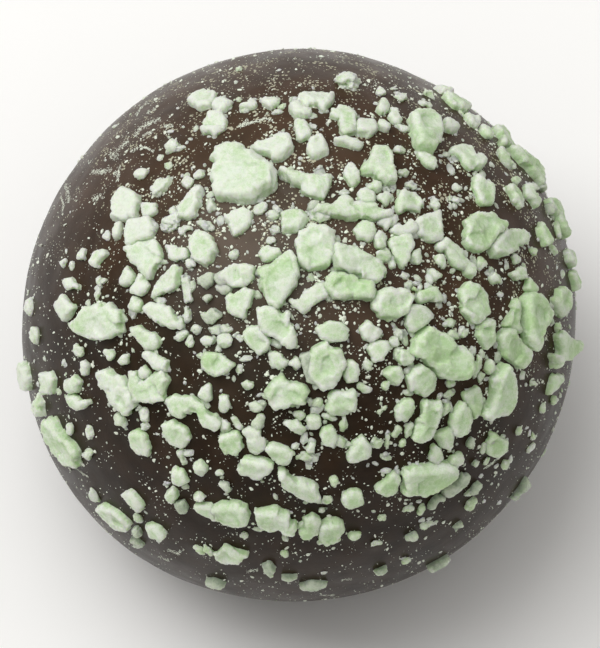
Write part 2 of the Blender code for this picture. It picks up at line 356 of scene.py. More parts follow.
# Outlines of the large chips by number: right, up, right, up and so on round each, in millimetres
LARGE_OUTLINES = {
    1: (-4.3, 11.5, -4.0, 10.9, -4.0, 10.4, -4.6, 10.0, -5.2, 10.3, -5.4, 10.8, -5.1, 11.2, -4.7, 11.5),
    2: (-0.5, 11.6, -0.1, 12.2, 0.5, 12.4, 1.8, 12.4, 1.7, 12.0, 1.5, 11.4, 1.1, 11.4, 1.0, 11.8, 0.4, 11.7,
        0.5, 11.1, 0.0, 10.9, -0.4, 11.2),
    3: (2.1, 11.7, 2.8, 11.6, 3.0, 11.2, 2.9, 10.1, 2.6, 9.9, 2.2, 9.9, 2.1, 10.9, 1.6, 11.1, 1.7, 11.4,
        2.0, 11.4),
    4: (5.9, 11.2, 6.3, 11.4, 6.9, 11.6, 7.6, 11.1, 7.7, 10.3, 7.4, 9.6, 7.0, 9.1, 6.2, 9.2, 6.0, 9.6, 5.9,
        10.6),
    5: (7.8, 12.4, 8.2, 12.5, 8.6, 12.3, 9.1, 12.4, 9.5, 12.1, 9.3, 11.7, 9.0, 11.5, 8.1, 11.5, 7.9, 11.9),
    6: (8.0, 9.1, 8.1, 9.4, 8.6, 9.6, 9.2, 9.5, 9.3, 9.0, 9.7, 9.0, 9.9, 8.7, 9.7, 8.3, 9.2, 8.2, 8.8, 8.3,
        8.4, 8.9),
    7: (-4.6, 9.4, -4.2, 9.6, -3.5, 9.7, -2.8, 9.4, -2.1, 8.8, -1.6, 8.5, -1.3, 8.1, -1.3, 7.4, -1.6, 6.9,
        -2.4, 6.5, -3.4, 6.5, -4.4, 6.8, -4.6, 7.2, -4.5, 7.5, -4.8, 7.9, -4.7, 8.3, -4.4, 8.6, -4.8, 9.0),
    8: (-2.5, 9.4, -2.3, 9.7, -1.8, 9.8, -1.2, 10.1, -0.6, 10.1, -0.4, 9.6, -0.4, 9.1, -0.8, 8.7, -1.4, 8.6,
        -2.1, 9.0),
    9: (3.9, 9.4, 4.2, 9.6, 4.6, 9.5, 4.9, 9.0, 5.0, 7.9, 5.0, 7.4, 4.6, 7.2, 4.1, 7.6, 3.8, 7.9, 3.2, 7.9,
        3.2, 8.2, 3.6, 8.7),
    10: (-5.2, 7.4, -5.6, 7.3, -6.0, 6.9, -6.5, 6.2, -6.4, 5.7, -5.8, 5.5, -5.5, 5.7, -5.3, 6.4, -5.2, 6.9),
    11: (-4.0, 5.7, -3.5, 6.0, -3.0, 6.2, -2.6, 6.0, -2.5, 5.4, -3.0, 4.9, -3.4, 4.6, -3.7, 5.0, -3.8, 5.4),
    12: (-0.2, 4.3, 0.0, 4.9, 0.6, 5.3, 1.4, 5.3, 1.8, 5.0, 1.8, 3.7, 1.5, 3.1, 1.1, 2.8, 0.5, 2.8, 0.0,
         3.2, -0.2, 3.8),
    13: (1.9, 4.2, 2.9, 4.0, 3.8, 3.7, 4.4, 3.4, 4.6, 2.9, 4.5, 2.4, 4.1, 2.2, 3.3, 2.4, 2.3, 2.7, 1.8, 3.0,
         1.7, 3.6),
    14: (1.4, 2.6, 2.1, 2.7, 2.9, 2.5, 3.9, 2.3, 4.0, 1.8, 3.8, 1.3, 2.8, 1.3, 1.8, 1.4, 1.4, 1.7, 1.3,
         2.1),
    15: (-2.2, 3.0, -1.6, 3.2, -0.9, 3.7, -0.5, 3.9, -0.1, 3.4, 0.0, 2.8, -0.3, 1.9, -0.8, 1.1, -1.3, 0.7,
         -1.7, 1.0, -2.0, 1.7, -2.2, 2.2),
    16: (-2.3, 0.8, -1.7, 0.9, -1.0, 0.7, -0.6, 0.7, -0.3, 0.0, -0.2, -1.2, -0.5, -1.3, -1.2, -0.8, -1.9,
         -0.4, -2.3, 0.1),
    17: (-4.4, 2.4, -4.1, 2.9, -3.5, 3.3, -2.9, 3.1, -2.4, 3.0, -2.5, 2.4, -2.9, 1.9, -3.5, 1.9, -4.0, 2.3),
    18: (-4.0, 1.4, -3.6, 1.7, -3.0, 1.9, -2.4, 1.8, -2.5, 1.0, -2.9, 0.3, -3.5, 0.4, -3.9, 0.8),
    19: (0.5, 5.8, 0.9, 6.2, 1.7, 6.3, 2.2, 6.8, 2.6, 6.7, 3.0, 6.4, 4.2, 6.3, 5.0, 6.0, 4.9, 5.7, 3.6, 5.5,
         2.4, 5.5, 1.6, 5.7),
    20: (6.0, 5.5, 6.7, 5.8, 7.4, 6.0, 7.5, 5.2, 7.5, 4.5, 6.9, 4.3, 6.2, 4.6, 6.0, 5.0),
    21: (4.7, 4.4, 5.2, 4.8, 5.9, 4.7, 6.0, 4.2, 5.7, 3.7, 5.6, 3.1, 5.3, 2.9, 4.9, 3.4, 4.8, 3.9),
    22: (7.1, 4.1, 7.6, 4.5, 8.3, 4.1, 8.8, 3.6, 9.3, 3.0, 9.2, 2.4, 8.9, 2.5, 8.7, 2.9, 8.1, 3.1, 7.6,
         3.7),
    23: (-9.5, 7.4, -9.3, 7.2, -8.6, 6.9, -8.5, 6.2, -8.6, 5.5, -9.5, 5.4, -10.1, 5.6, -10.0, 6.5, -9.8,
         7.0),
    24: (-9.2, 5.5, -8.6, 5.6, -7.9, 5.6, -7.6, 5.0, -7.9, 4.5, -8.5, 4.3, -9.2, 4.1, -9.3, 4.8),
    25: (-9.4, 4.1, -8.9, 4.1, -8.3, 4.4, -7.6, 4.4, -7.3, 3.7, -7.4, 2.9, -7.8, 2.4, -8.1, 2.4, -8.5, 3.0,
         -9.0, 3.4),
    26: (-7.9, 1.4, -7.8, 2.0, -7.3, 2.5, -6.6, 3.1, -6.3, 3.1, -6.2, 2.3, -6.6, 1.8, -7.2, 1.5),
    27: (-5.5, 5.0, -5.0, 4.9, -4.5, 4.4, -4.3, 3.9, -4.6, 3.4, -5.1, 3.1, -5.6, 3.3, -5.9, 3.8, -5.8, 4.5),
    28: (-8.4, 0.9, -7.9, 1.1, -7.2, 1.0, -6.7, 0.8, -6.2, 0.2, -6.1, -0.2, -6.8, -0.2, -7.6, 0.1, -8.1,
         0.6),
    29: (-12.3, -0.1, -12.0, 0.2, -11.7, 0.5, -11.4, 0.9, -10.7, 1.1, -10.3, 1.0, -9.8, 1.1, -9.4, 0.7,
         -9.2, 0.1, -9.3, -0.4, -9.9, -0.7, -10.6, -0.9, -11.4, -0.7, -12.0, -0.4),
    30: (-13.7, -5.1, -13.2, -5.0, -12.7, -5.6, -12.0, -6.1, -11.6, -6.7, -11.6, -7.3, -11.9, -7.6, -12.5,
         -7.5, -13.1, -7.0, -13.6, -6.1),
    31: (-15.4, -2.3, -15.0, -2.0, -14.4, -2.3, -14.2, -2.9, -14.4, -3.5, -15.0, -3.6, -15.3, -3.1),
    32: (8.6, 5.0, 8.8, 5.5, 9.4, 5.9, 10.0, 6.0, 10.6, 5.6, 11.1, 5.4, 11.0, 5.1, 10.4, 4.6, 9.9, 4.0, 9.3,
         3.8, 8.8, 4.1, 8.5, 4.5),
    33: (10.0, 4.0, 10.3, 4.5, 10.8, 5.0, 11.7, 5.1, 12.3, 4.9, 12.2, 4.4, 11.6, 4.3, 11.5, 4.0, 10.9, 3.6,
         10.2, 3.5),
    34: (10.4, 10.5, 10.8, 10.9, 11.3, 11.0, 11.8, 10.5, 11.6, 10.0, 11.6, 9.5, 11.0, 9.3, 10.3, 9.2, 10.5,
         9.9),
    35: (10.9, 9.3, 11.6, 9.2, 12.3, 9.1, 13.0, 9.0, 13.4, 8.5, 13.3, 7.8, 13.0, 7.4, 12.6, 7.7, 12.1, 8.1,
         11.5, 8.5),
    36: (13.4, 6.7, 14.0, 6.9, 14.5, 6.9, 14.7, 6.3, 14.7, 5.6, 14.9, 5.0, 14.6, 4.8, 14.1, 5.1, 13.9, 5.9,
         13.4, 6.1),
    37: (11.8, 1.0, 11.9, 1.6, 12.5, 1.7, 13.1, 1.5, 13.7, 0.6, 13.6, 0.2, 12.9, -0.5, 12.7, -1.1, 12.4,
         -1.4, 12.0, -1.0, 11.8, -0.1),
    38: (10.4, -0.6, 10.8, -0.2, 11.2, -0.3, 11.7, -0.9, 12.4, -1.5, 12.4, -2.0, 11.9, -2.4, 11.3, -2.2,
         10.7, -1.6),
    39: (13.6, -0.6, 14.1, -0.4, 14.6, -0.8, 15.1, -0.8, 15.7, -1.1, 15.4, -1.5, 14.8, -1.8, 14.2, -2.0,
         13.5, -2.3, 13.2, -1.7, 13.7, -1.6),
    40: (8.4, 1.8, 8.9, 2.2, 9.6, 2.0, 10.0, 1.7, 10.0, 1.1, 10.1, 0.5, 9.7, 0.2, 9.1, 0.0, 8.6, 0.4, 8.3,
         0.9, 8.4, 1.4),
    41: (3.8, 1.2, 4.1, 1.7, 4.7, 1.9, 5.2, 1.8, 5.8, 1.9, 6.1, 1.3, 5.7, 0.6, 5.2, 0.4, 4.7, 0.2, 4.2, 0.4,
         3.8, 0.8),
    42: (5.5, 0.9, 6.1, 1.0, 6.6, 0.9, 7.1, 0.5, 6.7, 0.0, 6.2, -0.3, 5.8, -0.4, 5.5, 0.1),
    43: (5.7, -1.4, 5.9, -0.8, 6.3, -0.3, 6.8, -0.1, 7.6, -0.5, 8.5, -1.1, 9.2, -1.7, 9.3, -2.4, 9.0, -2.9,
         8.0, -3.0, 7.3, -2.7, 6.7, -2.1, 6.1, -1.8),
    44: (5.5, -2.8, 5.9, -2.4, 6.4, -2.1, 6.9, -2.3, 7.2, -2.9, 7.1, -3.5, 6.7, -3.8, 6.1, -3.8, 5.6, -3.3),
    45: (10.4, -2.5, 10.9, -2.1, 11.3, -2.5, 11.6, -3.3, 11.6, -4.2, 11.2, -4.9, 10.7, -4.8, 10.0, -5.1,
         9.5, -4.9, 9.9, -4.3, 10.1, -3.7, 10.1, -3.0),
    46: (7.9, -5.0, 8.1, -4.4, 8.6, -4.1, 9.0, -4.5, 9.1, -5.1, 8.9, -5.8, 8.4, -6.0, 8.0, -5.8),
    47: (6.4, -4.1, 6.8, -3.9, 7.5, -4.1, 7.5, -4.8, 7.2, -5.6, 6.9, -6.1, 6.3, -6.2, 5.9, -6.0, 6.2, -5.3,
         6.3, -4.7),
    48: (5.4, -8.2, 5.5, -7.6, 6.0, -7.5, 6.8, -7.5, 7.6, -7.4, 8.3, -7.7, 8.5, -8.1, 7.8, -8.6, 7.0, -9.0,
         6.2, -9.2, 5.5, -9.1),
    49: (0.5, -1.6, 0.8, -1.0, 1.5, -0.9, 2.1, -1.3, 2.4, -2.1, 2.1, -2.8, 1.7, -3.4, 1.1, -3.5, 0.6, -3.0,
         0.4, -2.3),
    50: (-1.0, -2.6, -0.6, -3.0, 0.1, -3.1, 0.5, -3.5, 0.3, -4.2, -0.5, -4.4, -1.3, -4.5, -1.6, -4.2, -1.9,
         -3.7, -1.5, -3.1),
    51: (-5.2, -1.8, -4.8, -1.4, -4.3, -1.5, -3.8, -1.8, -3.4, -2.1, -3.7, -2.4, -4.3, -2.8, -5.0, -2.6,
         -5.2, -2.2),
    52: (-10.7, -3.2, -10.7, -2.6, -10.3, -2.4, -9.9, -2.6, -9.4, -2.6, -9.1, -3.0, -8.7, -3.6, -8.6, -4.1,
         -8.8, -4.6, -9.2, -4.8, -9.7, -4.4, -10.2, -3.8),
    53: (-9.1, -2.5, -8.7, -2.5, -8.5, -3.1, -8.1, -3.0, -7.6, -2.6, -7.1, -2.4, -6.8, -2.8, -6.9, -3.5,
         -7.2, -4.0, -8.0, -4.1, -8.8, -4.1, -9.0, -3.4),
    54: (-7.1, -4.0, -6.6, -3.8, -5.6, -3.8, -5.0, -4.1, -4.4, -4.8, -4.0, -5.2, -4.3, -5.5, -4.9, -5.3,
         -5.3, -4.8, -6.1, -4.6, -6.3, -5.0, -6.8, -4.8),
    55: (-3.3, -7.4, -3.0, -6.9, -2.4, -6.9, -1.8, -7.0, -1.4, -7.4, -1.6, -7.9, -2.2, -8.3, -2.7, -8.1,
         -3.2, -8.0),
    56: (-4.7, -9.7, -4.0, -9.4, -3.2, -9.3, -2.8, -9.6, -2.7, -10.4, -3.2, -10.6, -4.0, -10.7, -4.7,
         -10.5),
    57: (-2.4, -9.8, -1.8, -9.6, -1.2, -9.6, -0.6, -10.0, -0.2, -10.7, -0.3, -11.2, -0.8, -11.1, -1.1,
         -10.8, -1.5, -11.0, -2.0, -11.0, -2.3, -10.6),
    58: (-10.8, -9.8, -10.4, -9.6, -9.8, -9.7, -9.2, -10.1, -8.9, -10.5, -9.2, -11.0, -9.8, -11.0, -10.5,
         -10.4),
}

# The same for the middling chips, which have no solids
SMALL_OUTLINES = (
    (-6.1, 12.1, -5.8, 12.4, -5.2, 12.7, -4.6, 12.5, -4.5, 12.2, -4.9, 11.7, -5.4, 11.6),
    (-4.5, 12.3, -4.0, 12.3, -3.6, 11.9, -3.9, 11.5, -4.3, 11.3, -4.7, 11.8),
    (-3.3, 11.6, -2.8, 12.0, -2.4, 12.1, -2.4, 11.6, -2.8, 11.5),
    (-2.0, 12.2, -1.4, 12.1, -1.0, 12.0, -1.3, 11.6, -1.6, 11.4, -2.0, 11.7),
    (-0.2, 10.9, 0.2, 10.9, 0.6, 10.1, 0.4, 9.6, -0.1, 9.6, -0.2, 10.2),
    (0.4, 9.2, 0.6, 9.9, 1.0, 10.1, 1.4, 9.8, 1.5, 9.1, 1.1, 8.7, 0.6, 8.8),
    (-1.1, 8.3, -0.3, 8.1, 0.6, 7.9, 1.7, 7.9, 1.6, 7.2, 1.3, 6.6, 0.6, 6.6, 0.2, 6.9, 0.1, 7.3, -0.5, 7.5,
     -1.1, 8.0),
    (3.0, 10.7, 3.3, 11.0, 4.0, 10.9, 4.1, 10.3, 3.7, 9.9, 3.0, 10.0),
    (1.7, 9.7, 2.2, 9.9, 3.0, 9.8, 3.4, 9.6, 3.1, 9.3, 2.2, 9.3),
    (2.3, 8.0, 2.6, 8.5, 3.0, 8.5, 3.2, 7.8, 2.9, 7.2, 2.4, 7.4),
    (3.1, 6.9, 3.5, 7.2, 4.0, 6.9, 3.9, 6.4, 3.4, 6.3, 3.1, 6.5),
    (5.1, 6.6, 5.5, 7.1, 6.1, 7.0, 6.6, 6.3, 6.2, 5.9, 5.7, 6.0, 5.1, 5.8, 5.0, 6.2),
    (6.2, 9.1, 6.8, 9.1, 7.3, 8.6, 7.1, 8.2, 6.6, 8.4),
    (7.7, 11.0, 8.0, 11.1, 8.6, 10.7, 8.1, 10.3, 7.7, 10.4),
    (4.9, 11.6, 5.2, 11.5, 5.4, 10.9, 5.1, 10.6, 4.7, 11.0),
    (4.1, 10.9, 4.5, 10.9, 4.8, 10.5, 4.5, 10.2, 4.1, 10.4),
    (4.2, 12.0, 4.6, 12.1, 4.8, 11.6, 4.4, 11.1, 4.1, 11.4),
    (7.4, 13.0, 8.0, 13.1, 8.5, 12.8, 8.3, 12.5, 7.6, 12.6),
    (8.9, 11.3, 9.4, 11.4, 9.8, 11.1, 9.5, 10.6, 9.1, 10.8),
    (9.8, 10.8, 10.2, 10.6, 10.4, 10.1, 10.1, 9.9, 9.8, 10.3),
    (9.4, 8.0, 9.8, 7.7, 10.4, 7.4, 10.4, 6.7, 9.9, 6.2, 9.5, 6.4, 9.2, 7.1),
    (11.0, 7.4, 11.5, 7.5, 12.0, 6.7, 11.8, 6.2, 11.3, 6.5),
    (12.0, 7.4, 12.4, 7.5, 12.9, 6.5, 12.6, 6.2, 12.0, 6.8),
    (-8.5, 6.5, -7.6, 6.4, -7.6, 5.9, -8.0, 5.7, -8.5, 5.7),
    (-9.8, 5.4, -9.4, 5.4, -9.5, 4.6, -9.8, 4.4, -9.9, 4.9),
    (-9.2, 3.1, -8.7, 2.8, -8.7, 2.3, -9.1, 2.0, -9.6, 2.1, -9.5, 2.5),
    (-8.5, 2.7, -8.2, 2.6, -7.9, 1.9, -8.4, 1.4, -8.9, 1.7, -8.8, 2.2),
    (-8.9, 1.5, -8.4, 1.3, -8.3, 0.8, -8.6, 0.6, -9.2, 1.0),
    (-7.2, 4.2, -6.5, 4.1, -5.9, 4.0, -5.9, 3.5, -6.4, 3.3, -6.9, 3.5),
    (-13.2, 1.0, -12.7, 1.5, -12.3, 1.4, -11.8, 0.8, -12.0, 0.4, -12.5, 0.2, -13.0, 0.6),
    (-9.0, -0.2, -8.4, -0.1, -7.8, -0.3, -7.3, -0.9, -7.4, -1.2, -8.2, -1.4, -8.7, -0.8),
    (-11.2, 3.2, -10.9, 3.8, -10.4, 3.9, -10.1, 3.7, -10.5, 3.3, -10.8, 3.0),
    (-12.7, 2.4, -12.0, 2.4, -11.6, 1.9, -11.9, 1.8, -12.5, 1.9),
    (-2.2, 3.7, -1.9, 4.2, -1.4, 4.0, -1.0, 3.9, -1.1, 3.5, -1.9, 3.3),
    (-3.0, -0.5, -2.6, -0.1, -2.1, -0.1, -1.5, -0.9, -1.7, -1.4, -2.3, -1.6, -2.8, -1.1),
    (-1.0, 5.9, -0.4, 6.1, 0.2, 6.0, 0.4, 5.5, -0.1, 4.8, -0.9, 4.8),
    (-0.6, 1.2, 0.0, 1.5, 1.0, 2.2, 1.5, 2.1, 1.5, 1.5, 0.8, 1.0, 0.1, 0.5, -0.3, 0.8),
    (5.8, 1.9, 6.5, 1.9, 7.2, 1.9, 7.6, 1.2, 6.9, 1.2, 6.2, 1.1),
    (3.1, -0.3, 3.5, 0.2, 4.0, -0.1, 4.5, -0.6, 4.0, -0.9, 3.4, -0.8),
    (0.8, -0.3, 1.4, 0.1, 2.1, 0.1, 2.6, -0.3, 2.4, -1.0, 1.7, -1.0, 1.1, -0.7),
    (4.6, 4.9, 5.2, 5.3, 5.9, 5.5, 6.3, 5.0, 5.8, 4.6, 5.0, 4.7),
    (2.8, 4.9, 3.3, 5.5, 3.9, 5.3, 4.0, 4.7, 3.6, 4.3, 3.1, 4.5),
    (3.9, 4.6, 4.2, 5.1, 4.6, 4.5, 4.4, 4.0, 4.0, 4.0),
    (4.1, 5.3, 4.6, 5.8, 5.1, 5.7, 5.0, 5.2, 4.5, 4.9),
    (7.1, 3.6, 7.5, 3.7, 7.8, 3.3, 7.5, 2.9, 7.1, 3.1),
    (12.6, 5.3, 12.9, 5.5, 13.4, 4.8, 13.5, 4.3, 13.0, 4.2, 12.7, 4.8),
    (11.0, 2.6, 11.6, 2.9, 12.0, 3.0, 12.1, 2.5, 11.5, 2.3),
    (12.0, 2.4, 12.4, 2.4, 12.7, 1.8, 12.4, 1.6, 11.9, 1.7),
    (9.4, 0.0, 9.8, 0.3, 10.3, 0.1, 10.5, -0.6, 10.2, -1.2, 9.8, -1.3, 9.3, -0.6),
    (10.7, 0.0, 11.1, 0.5, 11.3, 1.1, 11.7, 1.4, 11.9, 1.0, 11.6, 0.2, 11.8, -0.5, 11.3, -0.3),
    (13.4, 1.2, 13.8, 1.8, 14.3, 2.0, 14.7, 1.7, 14.6, 0.8, 14.1, 0.4, 13.6, 0.7),
    (14.2, 3.8, 14.7, 4.1, 15.2, 4.0, 15.3, 3.4, 14.8, 3.1, 14.3, 3.3),
    (14.5, 2.7, 15.0, 2.9, 15.4, 2.4, 15.2, 1.8, 14.8, 2.0),
    (13.4, -3.3, 13.6, -2.8, 14.1, -2.7, 14.3, -3.0, 13.8, -3.5, 13.3, -3.8),
    (-8.4, -1.6, -8.0, -1.4, -7.4, -1.8, -6.8, -2.0, -6.9, -2.5, -7.7, -2.3),
    (-8.5, -2.5, -8.2, -2.2, -7.9, -2.5, -8.0, -2.9, -8.4, -2.9),
    (-7.3, -5.3, -6.6, -5.1, -5.9, -5.4, -5.7, -6.0, -6.2, -6.5, -6.8, -6.3, -7.2, -5.8),
    (-9.0, -5.9, -8.7, -5.5, -8.1, -5.7, -7.8, -6.5, -7.9, -6.9, -8.5, -6.8, -8.9, -6.5),
    (-12.4, -2.9, -11.9, -2.7, -11.5, -3.0, -11.7, -3.5, -12.3, -3.7, -12.5, -3.3),
    (-12.6, -3.8, -11.9, -3.8, -11.0, -4.1, -11.5, -4.6, -12.1, -4.4),
    (-11.4, -1.8, -11.1, -2.1, -11.3, -2.7, -11.6, -2.8, -11.6, -2.4),
    (-13.9, -2.5, -13.3, -2.5, -12.9, -3.0, -13.1, -3.7, -13.8, -3.7),
    (-9.6, -1.9, -9.3, -1.6, -8.9, -1.6, -9.0, -2.0, -9.4, -2.1),
    (-6.8, -8.1, -6.6, -7.5, -6.1, -7.6, -5.8, -8.2, -6.2, -8.6, -6.6, -8.4),
    (-7.1, -9.0, -6.9, -8.6, -6.5, -8.6, -6.4, -9.2, -6.8, -9.5),
    (-9.4, -9.0, -9.0, -8.7, -8.5, -9.0, -8.2, -9.6, -8.5, -9.9, -9.0, -9.6),
    (-8.2, -10.7, -7.9, -10.5, -7.4, -10.7, -7.0, -11.2, -7.4, -11.5, -7.9, -11.3),
    (-5.7, -9.0, -5.3, -8.8, -4.9, -9.2, -5.4, -9.4),
    (-5.6, -9.6, -4.9, -9.4, -4.4, -9.5, -4.4, -10.4, -4.8, -10.2, -5.4, -9.9),
    (-4.6, -12.2, -4.0, -11.7, -3.4, -11.9, -2.7, -12.2, -3.2, -12.6, -3.9, -12.8, -4.5, -12.6),
    (-5.3, -3.5, -4.8, -3.1, -4.6, -3.4, -4.7, -4.0, -5.0, -4.1, -5.4, -3.8),
    (-4.2, -3.7, -3.7, -3.7, -3.6, -4.2, -4.0, -4.7, -4.3, -4.5),
    (-1.6, -1.6, -1.1, -1.4, -0.7, -1.8, -0.7, -2.2, -1.1, -2.5, -1.5, -2.2),
    (-0.6, -2.0, -0.2, -1.7, 0.1, -2.2, -0.3, -2.5),
    (-4.2, -5.8, -3.7, -5.7, -3.1, -5.6, -3.0, -6.4, -3.3, -7.0, -3.9, -6.9, -4.2, -6.4),
    (-3.0, -5.6, -2.5, -5.4, -2.0, -5.6, -1.8, -6.6, -2.4, -6.9, -2.8, -6.5),
    (-1.8, -6.5, -1.5, -6.2, -0.9, -6.3, -0.2, -6.9, -0.5, -7.3, -1.0, -7.4, -1.5, -7.1),
    (-1.0, -5.2, -0.5, -5.0, 0.1, -5.1, 0.4, -5.7, 0.1, -5.9, -0.5, -5.5),
    (0.3, -4.9, 0.6, -4.7, 1.0, -4.9, 1.0, -5.5, 0.5, -5.5),
    (0.1, -6.5, 0.4, -6.1, 0.8, -6.3, 0.8, -6.7, 0.4, -6.8),
    (-5.6, -7.3, -5.2, -7.1, -4.9, -7.5, -5.2, -8.1, -5.5, -7.8),
    (-1.3, -7.6, -0.9, -7.6, -0.3, -8.1, 0.7, -8.4, 1.2, -9.1, 1.1, -9.5, 0.6, -9.5, -0.2, -9.1, -0.8, -8.6,
     -1.0, -8.0),
    (2.4, -2.0, 2.8, -1.8, 3.1, -2.4, 3.0, -3.0, 2.5, -3.1, 2.3, -2.5),
    (1.4, -3.9, 1.7, -3.6, 2.8, -3.4, 3.0, -3.9, 2.9, -4.6, 2.2, -4.8, 1.6, -4.7, 1.3, -4.3),
    (1.0, -5.9, 1.2, -5.4, 1.7, -5.3, 2.0, -5.9, 1.8, -6.5, 1.3, -6.4),
    (2.5, -6.9, 2.8, -6.2, 3.3, -5.8, 3.7, -6.2, 3.7, -7.0, 3.1, -7.2, 2.6, -7.3),
    (4.3, -2.5, 4.7, -2.2, 5.2, -2.3, 5.5, -2.8, 5.2, -3.2, 4.7, -3.2),
    (3.5, -1.3, 3.8, -0.9, 4.4, -0.9, 4.8, -1.3, 4.4, -1.9, 3.9, -2.0),
    (5.0, -4.3, 5.4, -3.9, 5.9, -4.0, 6.0, -4.7, 5.6, -5.2, 5.1, -5.0),
    (7.1, -6.0, 7.4, -5.5, 8.0, -5.5, 8.3, -6.1, 8.0, -6.7, 7.5, -6.5),
    (8.6, -3.7, 9.0, -3.4, 9.5, -3.4, 9.7, -4.0, 9.5, -4.8, 9.1, -5.2, 8.9, -4.4),
    (7.0, -6.4, 7.3, -6.5, 7.6, -7.1, 7.3, -7.5, 6.9, -7.2),
    (7.7, -7.3, 8.1, -6.9, 8.6, -6.9, 8.7, -7.4, 8.2, -7.6),
    (9.9, -2.0, 10.1, -1.8, 10.4, -2.4, 10.1, -2.7, 9.8, -2.4),
    (9.9, -6.2, 10.2, -5.7, 10.6, -6.0, 11.1, -6.3, 11.0, -6.8, 10.5, -7.1, 10.0, -6.9),
    (4.0, -8.6, 4.3, -8.1, 4.9, -7.8, 5.3, -8.2, 5.1, -8.9, 4.6, -9.2, 4.1, -9.0),
    (2.2, -9.0, 2.7, -8.7, 3.3, -8.9, 3.3, -9.5, 2.7, -9.8, 2.2, -9.6),
    (0.0, -11.1, 0.2, -10.2, 0.6, -10.0, 1.1, -10.3, 1.0, -10.9, 0.5, -11.4, 0.1, -11.4),
    (1.0, -11.0, 1.1, -10.5, 1.7, -10.2, 2.2, -10.5, 2.3, -10.9, 2.1, -11.5, 1.5, -11.9, 1.1, -11.6),
    (2.6, -11.2, 2.9, -11.0, 3.3, -11.1, 3.2, -11.4, 2.8, -11.4),
)

# Greyer lumps low on the ball, half clear and furred with powder
HUSK_OUTLINES = (
    (7.6, -8.8, 8.2, -8.4, 8.6, -7.9, 9.1, -8.1, 8.9, -8.6, 8.2, -9.2, 7.7, -9.4),
    (6.8, -9.8, 7.1, -9.3, 7.7, -9.1, 7.6, -9.6, 7.0, -9.9),
    (9.0, -9.0, 9.3, -8.5, 9.7, -8.5, 9.4, -9.1),
    (-5.2, -13.9, -4.6, -13.5, -3.9, -13.8, -4.6, -14.1),
    (-0.1, -14.0, 0.6, -13.7, 1.5, -13.9, 0.7, -14.3),
    (-1.9, -12.8, -1.6, -12.6, -1.2, -13.1, -1.5, -13.5, -1.9, -13.2),
    (-1.2, -13.6, -0.2, -13.3, 0.0, -13.5, -0.6, -13.7),
    (3.9, -13.5, 4.2, -13.1, 4.7, -13.0, 4.4, -13.5),
    (5.6, -11.3, 6.2, -11.1, 6.3, -11.4, 6.0, -11.6, 5.7, -11.5),
    (8.1, -11.1, 8.5, -10.7, 8.8, -10.7, 8.5, -11.1),
    (11.6, -9.4, 12.3, -8.4, 12.8, -8.9, 12.0, -9.8),
    (6.9, -13.2, 7.5, -12.9, 8.1, -12.5, 8.0, -13.1, 7.2, -13.5),
    (-6.6, -9.4, -6.1, -9.2, -5.9, -9.9, -6.3, -10.1),
    (-8.8, -10.9, -8.5, -10.7, -8.4, -11.2, -8.8, -11.3),
    (-9.1, -11.5, -8.7, -11.3, -8.3, -11.7, -8.7, -12.0),
    (-5.4, 2.5, -5.0, 2.8, -4.6, 2.6, -4.6, 2.1, -5.1, 1.9, -5.4, 2.1),
    (-5.3, 1.3, -4.8, 1.6, -4.6, 1.4, -5.0, 1.1),
    (-5.3, 0.6, -4.6, 0.8, -4.1, 0.6, -4.4, 0.1, -5.0, 0.0),
    (-4.6, 2.0, -4.0, 2.1, -3.6, 1.8, -4.1, 1.6),
    (0.0, -1.5, 0.5, -1.3, 0.8, -2.2, 0.9, -3.2, 0.4, -3.0, 0.1, -2.2),
    (10.0, -6.2, 10.2, -5.7, 10.4, -6.2, 10.2, -6.5),
    (-3.2, 3.0, -4.6, 2.6, -4.3, 2.0, -3.6, 2.2),
    (13.4, 8.0, 13.7, 8.1, 13.6, 7.4, 13.2, 7.4),
    (13.1, 6.3, 13.6, 6.7, 13.8, 6.1, 13.3, 5.7),
    (0.4, 6.4, 1.0, 6.6, 0.9, 6.1, 0.4, 6.0),
    (-4.3, -8.2, -3.8, -8.3, -3.5, -8.8, -4.0, -8.9),
    (9.1, -6.0, 9.3, -6.5, 9.0, -6.7, 8.9, -6.3),
    (9.2, -7.6, 9.5, -7.1, 9.6, -7.5),
)

# Pale rubbed marks on the coat: width, then right, up, right, up and so on along each
SCUFFS = (
    (0.16, -8.9, 10.2, -8.7, 10.6, -8.2, 10.9, -7.6, 11.1),
    (0.08, -8.5, 10.1, -8.3, 10.3, -8.0, 10.4),
    (0.09, -9.1, 9.3, -8.6, 9.6, -8.3, 9.5, -7.9, 9.3),
    (0.14, -9.9, 9.4, -9.3, 9.9),
    (0.30, -10.2, 9.0, -9.9, 9.2),
    (0.16, -11.2, 8.2, -10.7, 8.2, -10.2, 8.3),
    (0.12, -10.0, 8.0, -9.9, 8.2),
    (0.10, -9.8, 7.7, -9.7, 8.5),
    (0.14, -12.9, 7.8, -12.6, 7.2, -12.5, 6.6),
    (0.07, -13.0, 6.9, -12.8, 6.5, -12.8, 5.9),
    (0.22, -11.1, 6.7, -10.7, 6.9),
    (0.07, -8.9, 11.4, -8.7, 11.8, -8.4, 12.1),
    (0.12, -8.3, 11.5, -7.9, 11.7),
    (0.12, -7.3, 10.7, -6.9, 10.7),
    (0.09, -3.3, 10.6, -2.6, 10.8, -1.9, 11.0, -1.5, 10.9),
    (0.16, -3.1, 10.7, -2.8, 10.9),
    (0.06, 10.1, -7.6, 10.6, -7.2, 11.1, -6.8),
    (0.06, 9.9, -7.7, 10.3, -7.5),
    (0.10, -2.8, -13.2, -2.3, -13.1),
    (0.05, 1.2, -14.6, 1.8, -14.6),
    (0.08, 2.3, -13.7, 2.7, -13.7),
    (0.05, -11.9, -7.7, -11.3, -8.1),
    (0.10, -7.0, -12.0, -6.5, -12.2, -6.2, -12.0),
    (0.06, -7.5, -12.4, -7.0, -12.6),
)


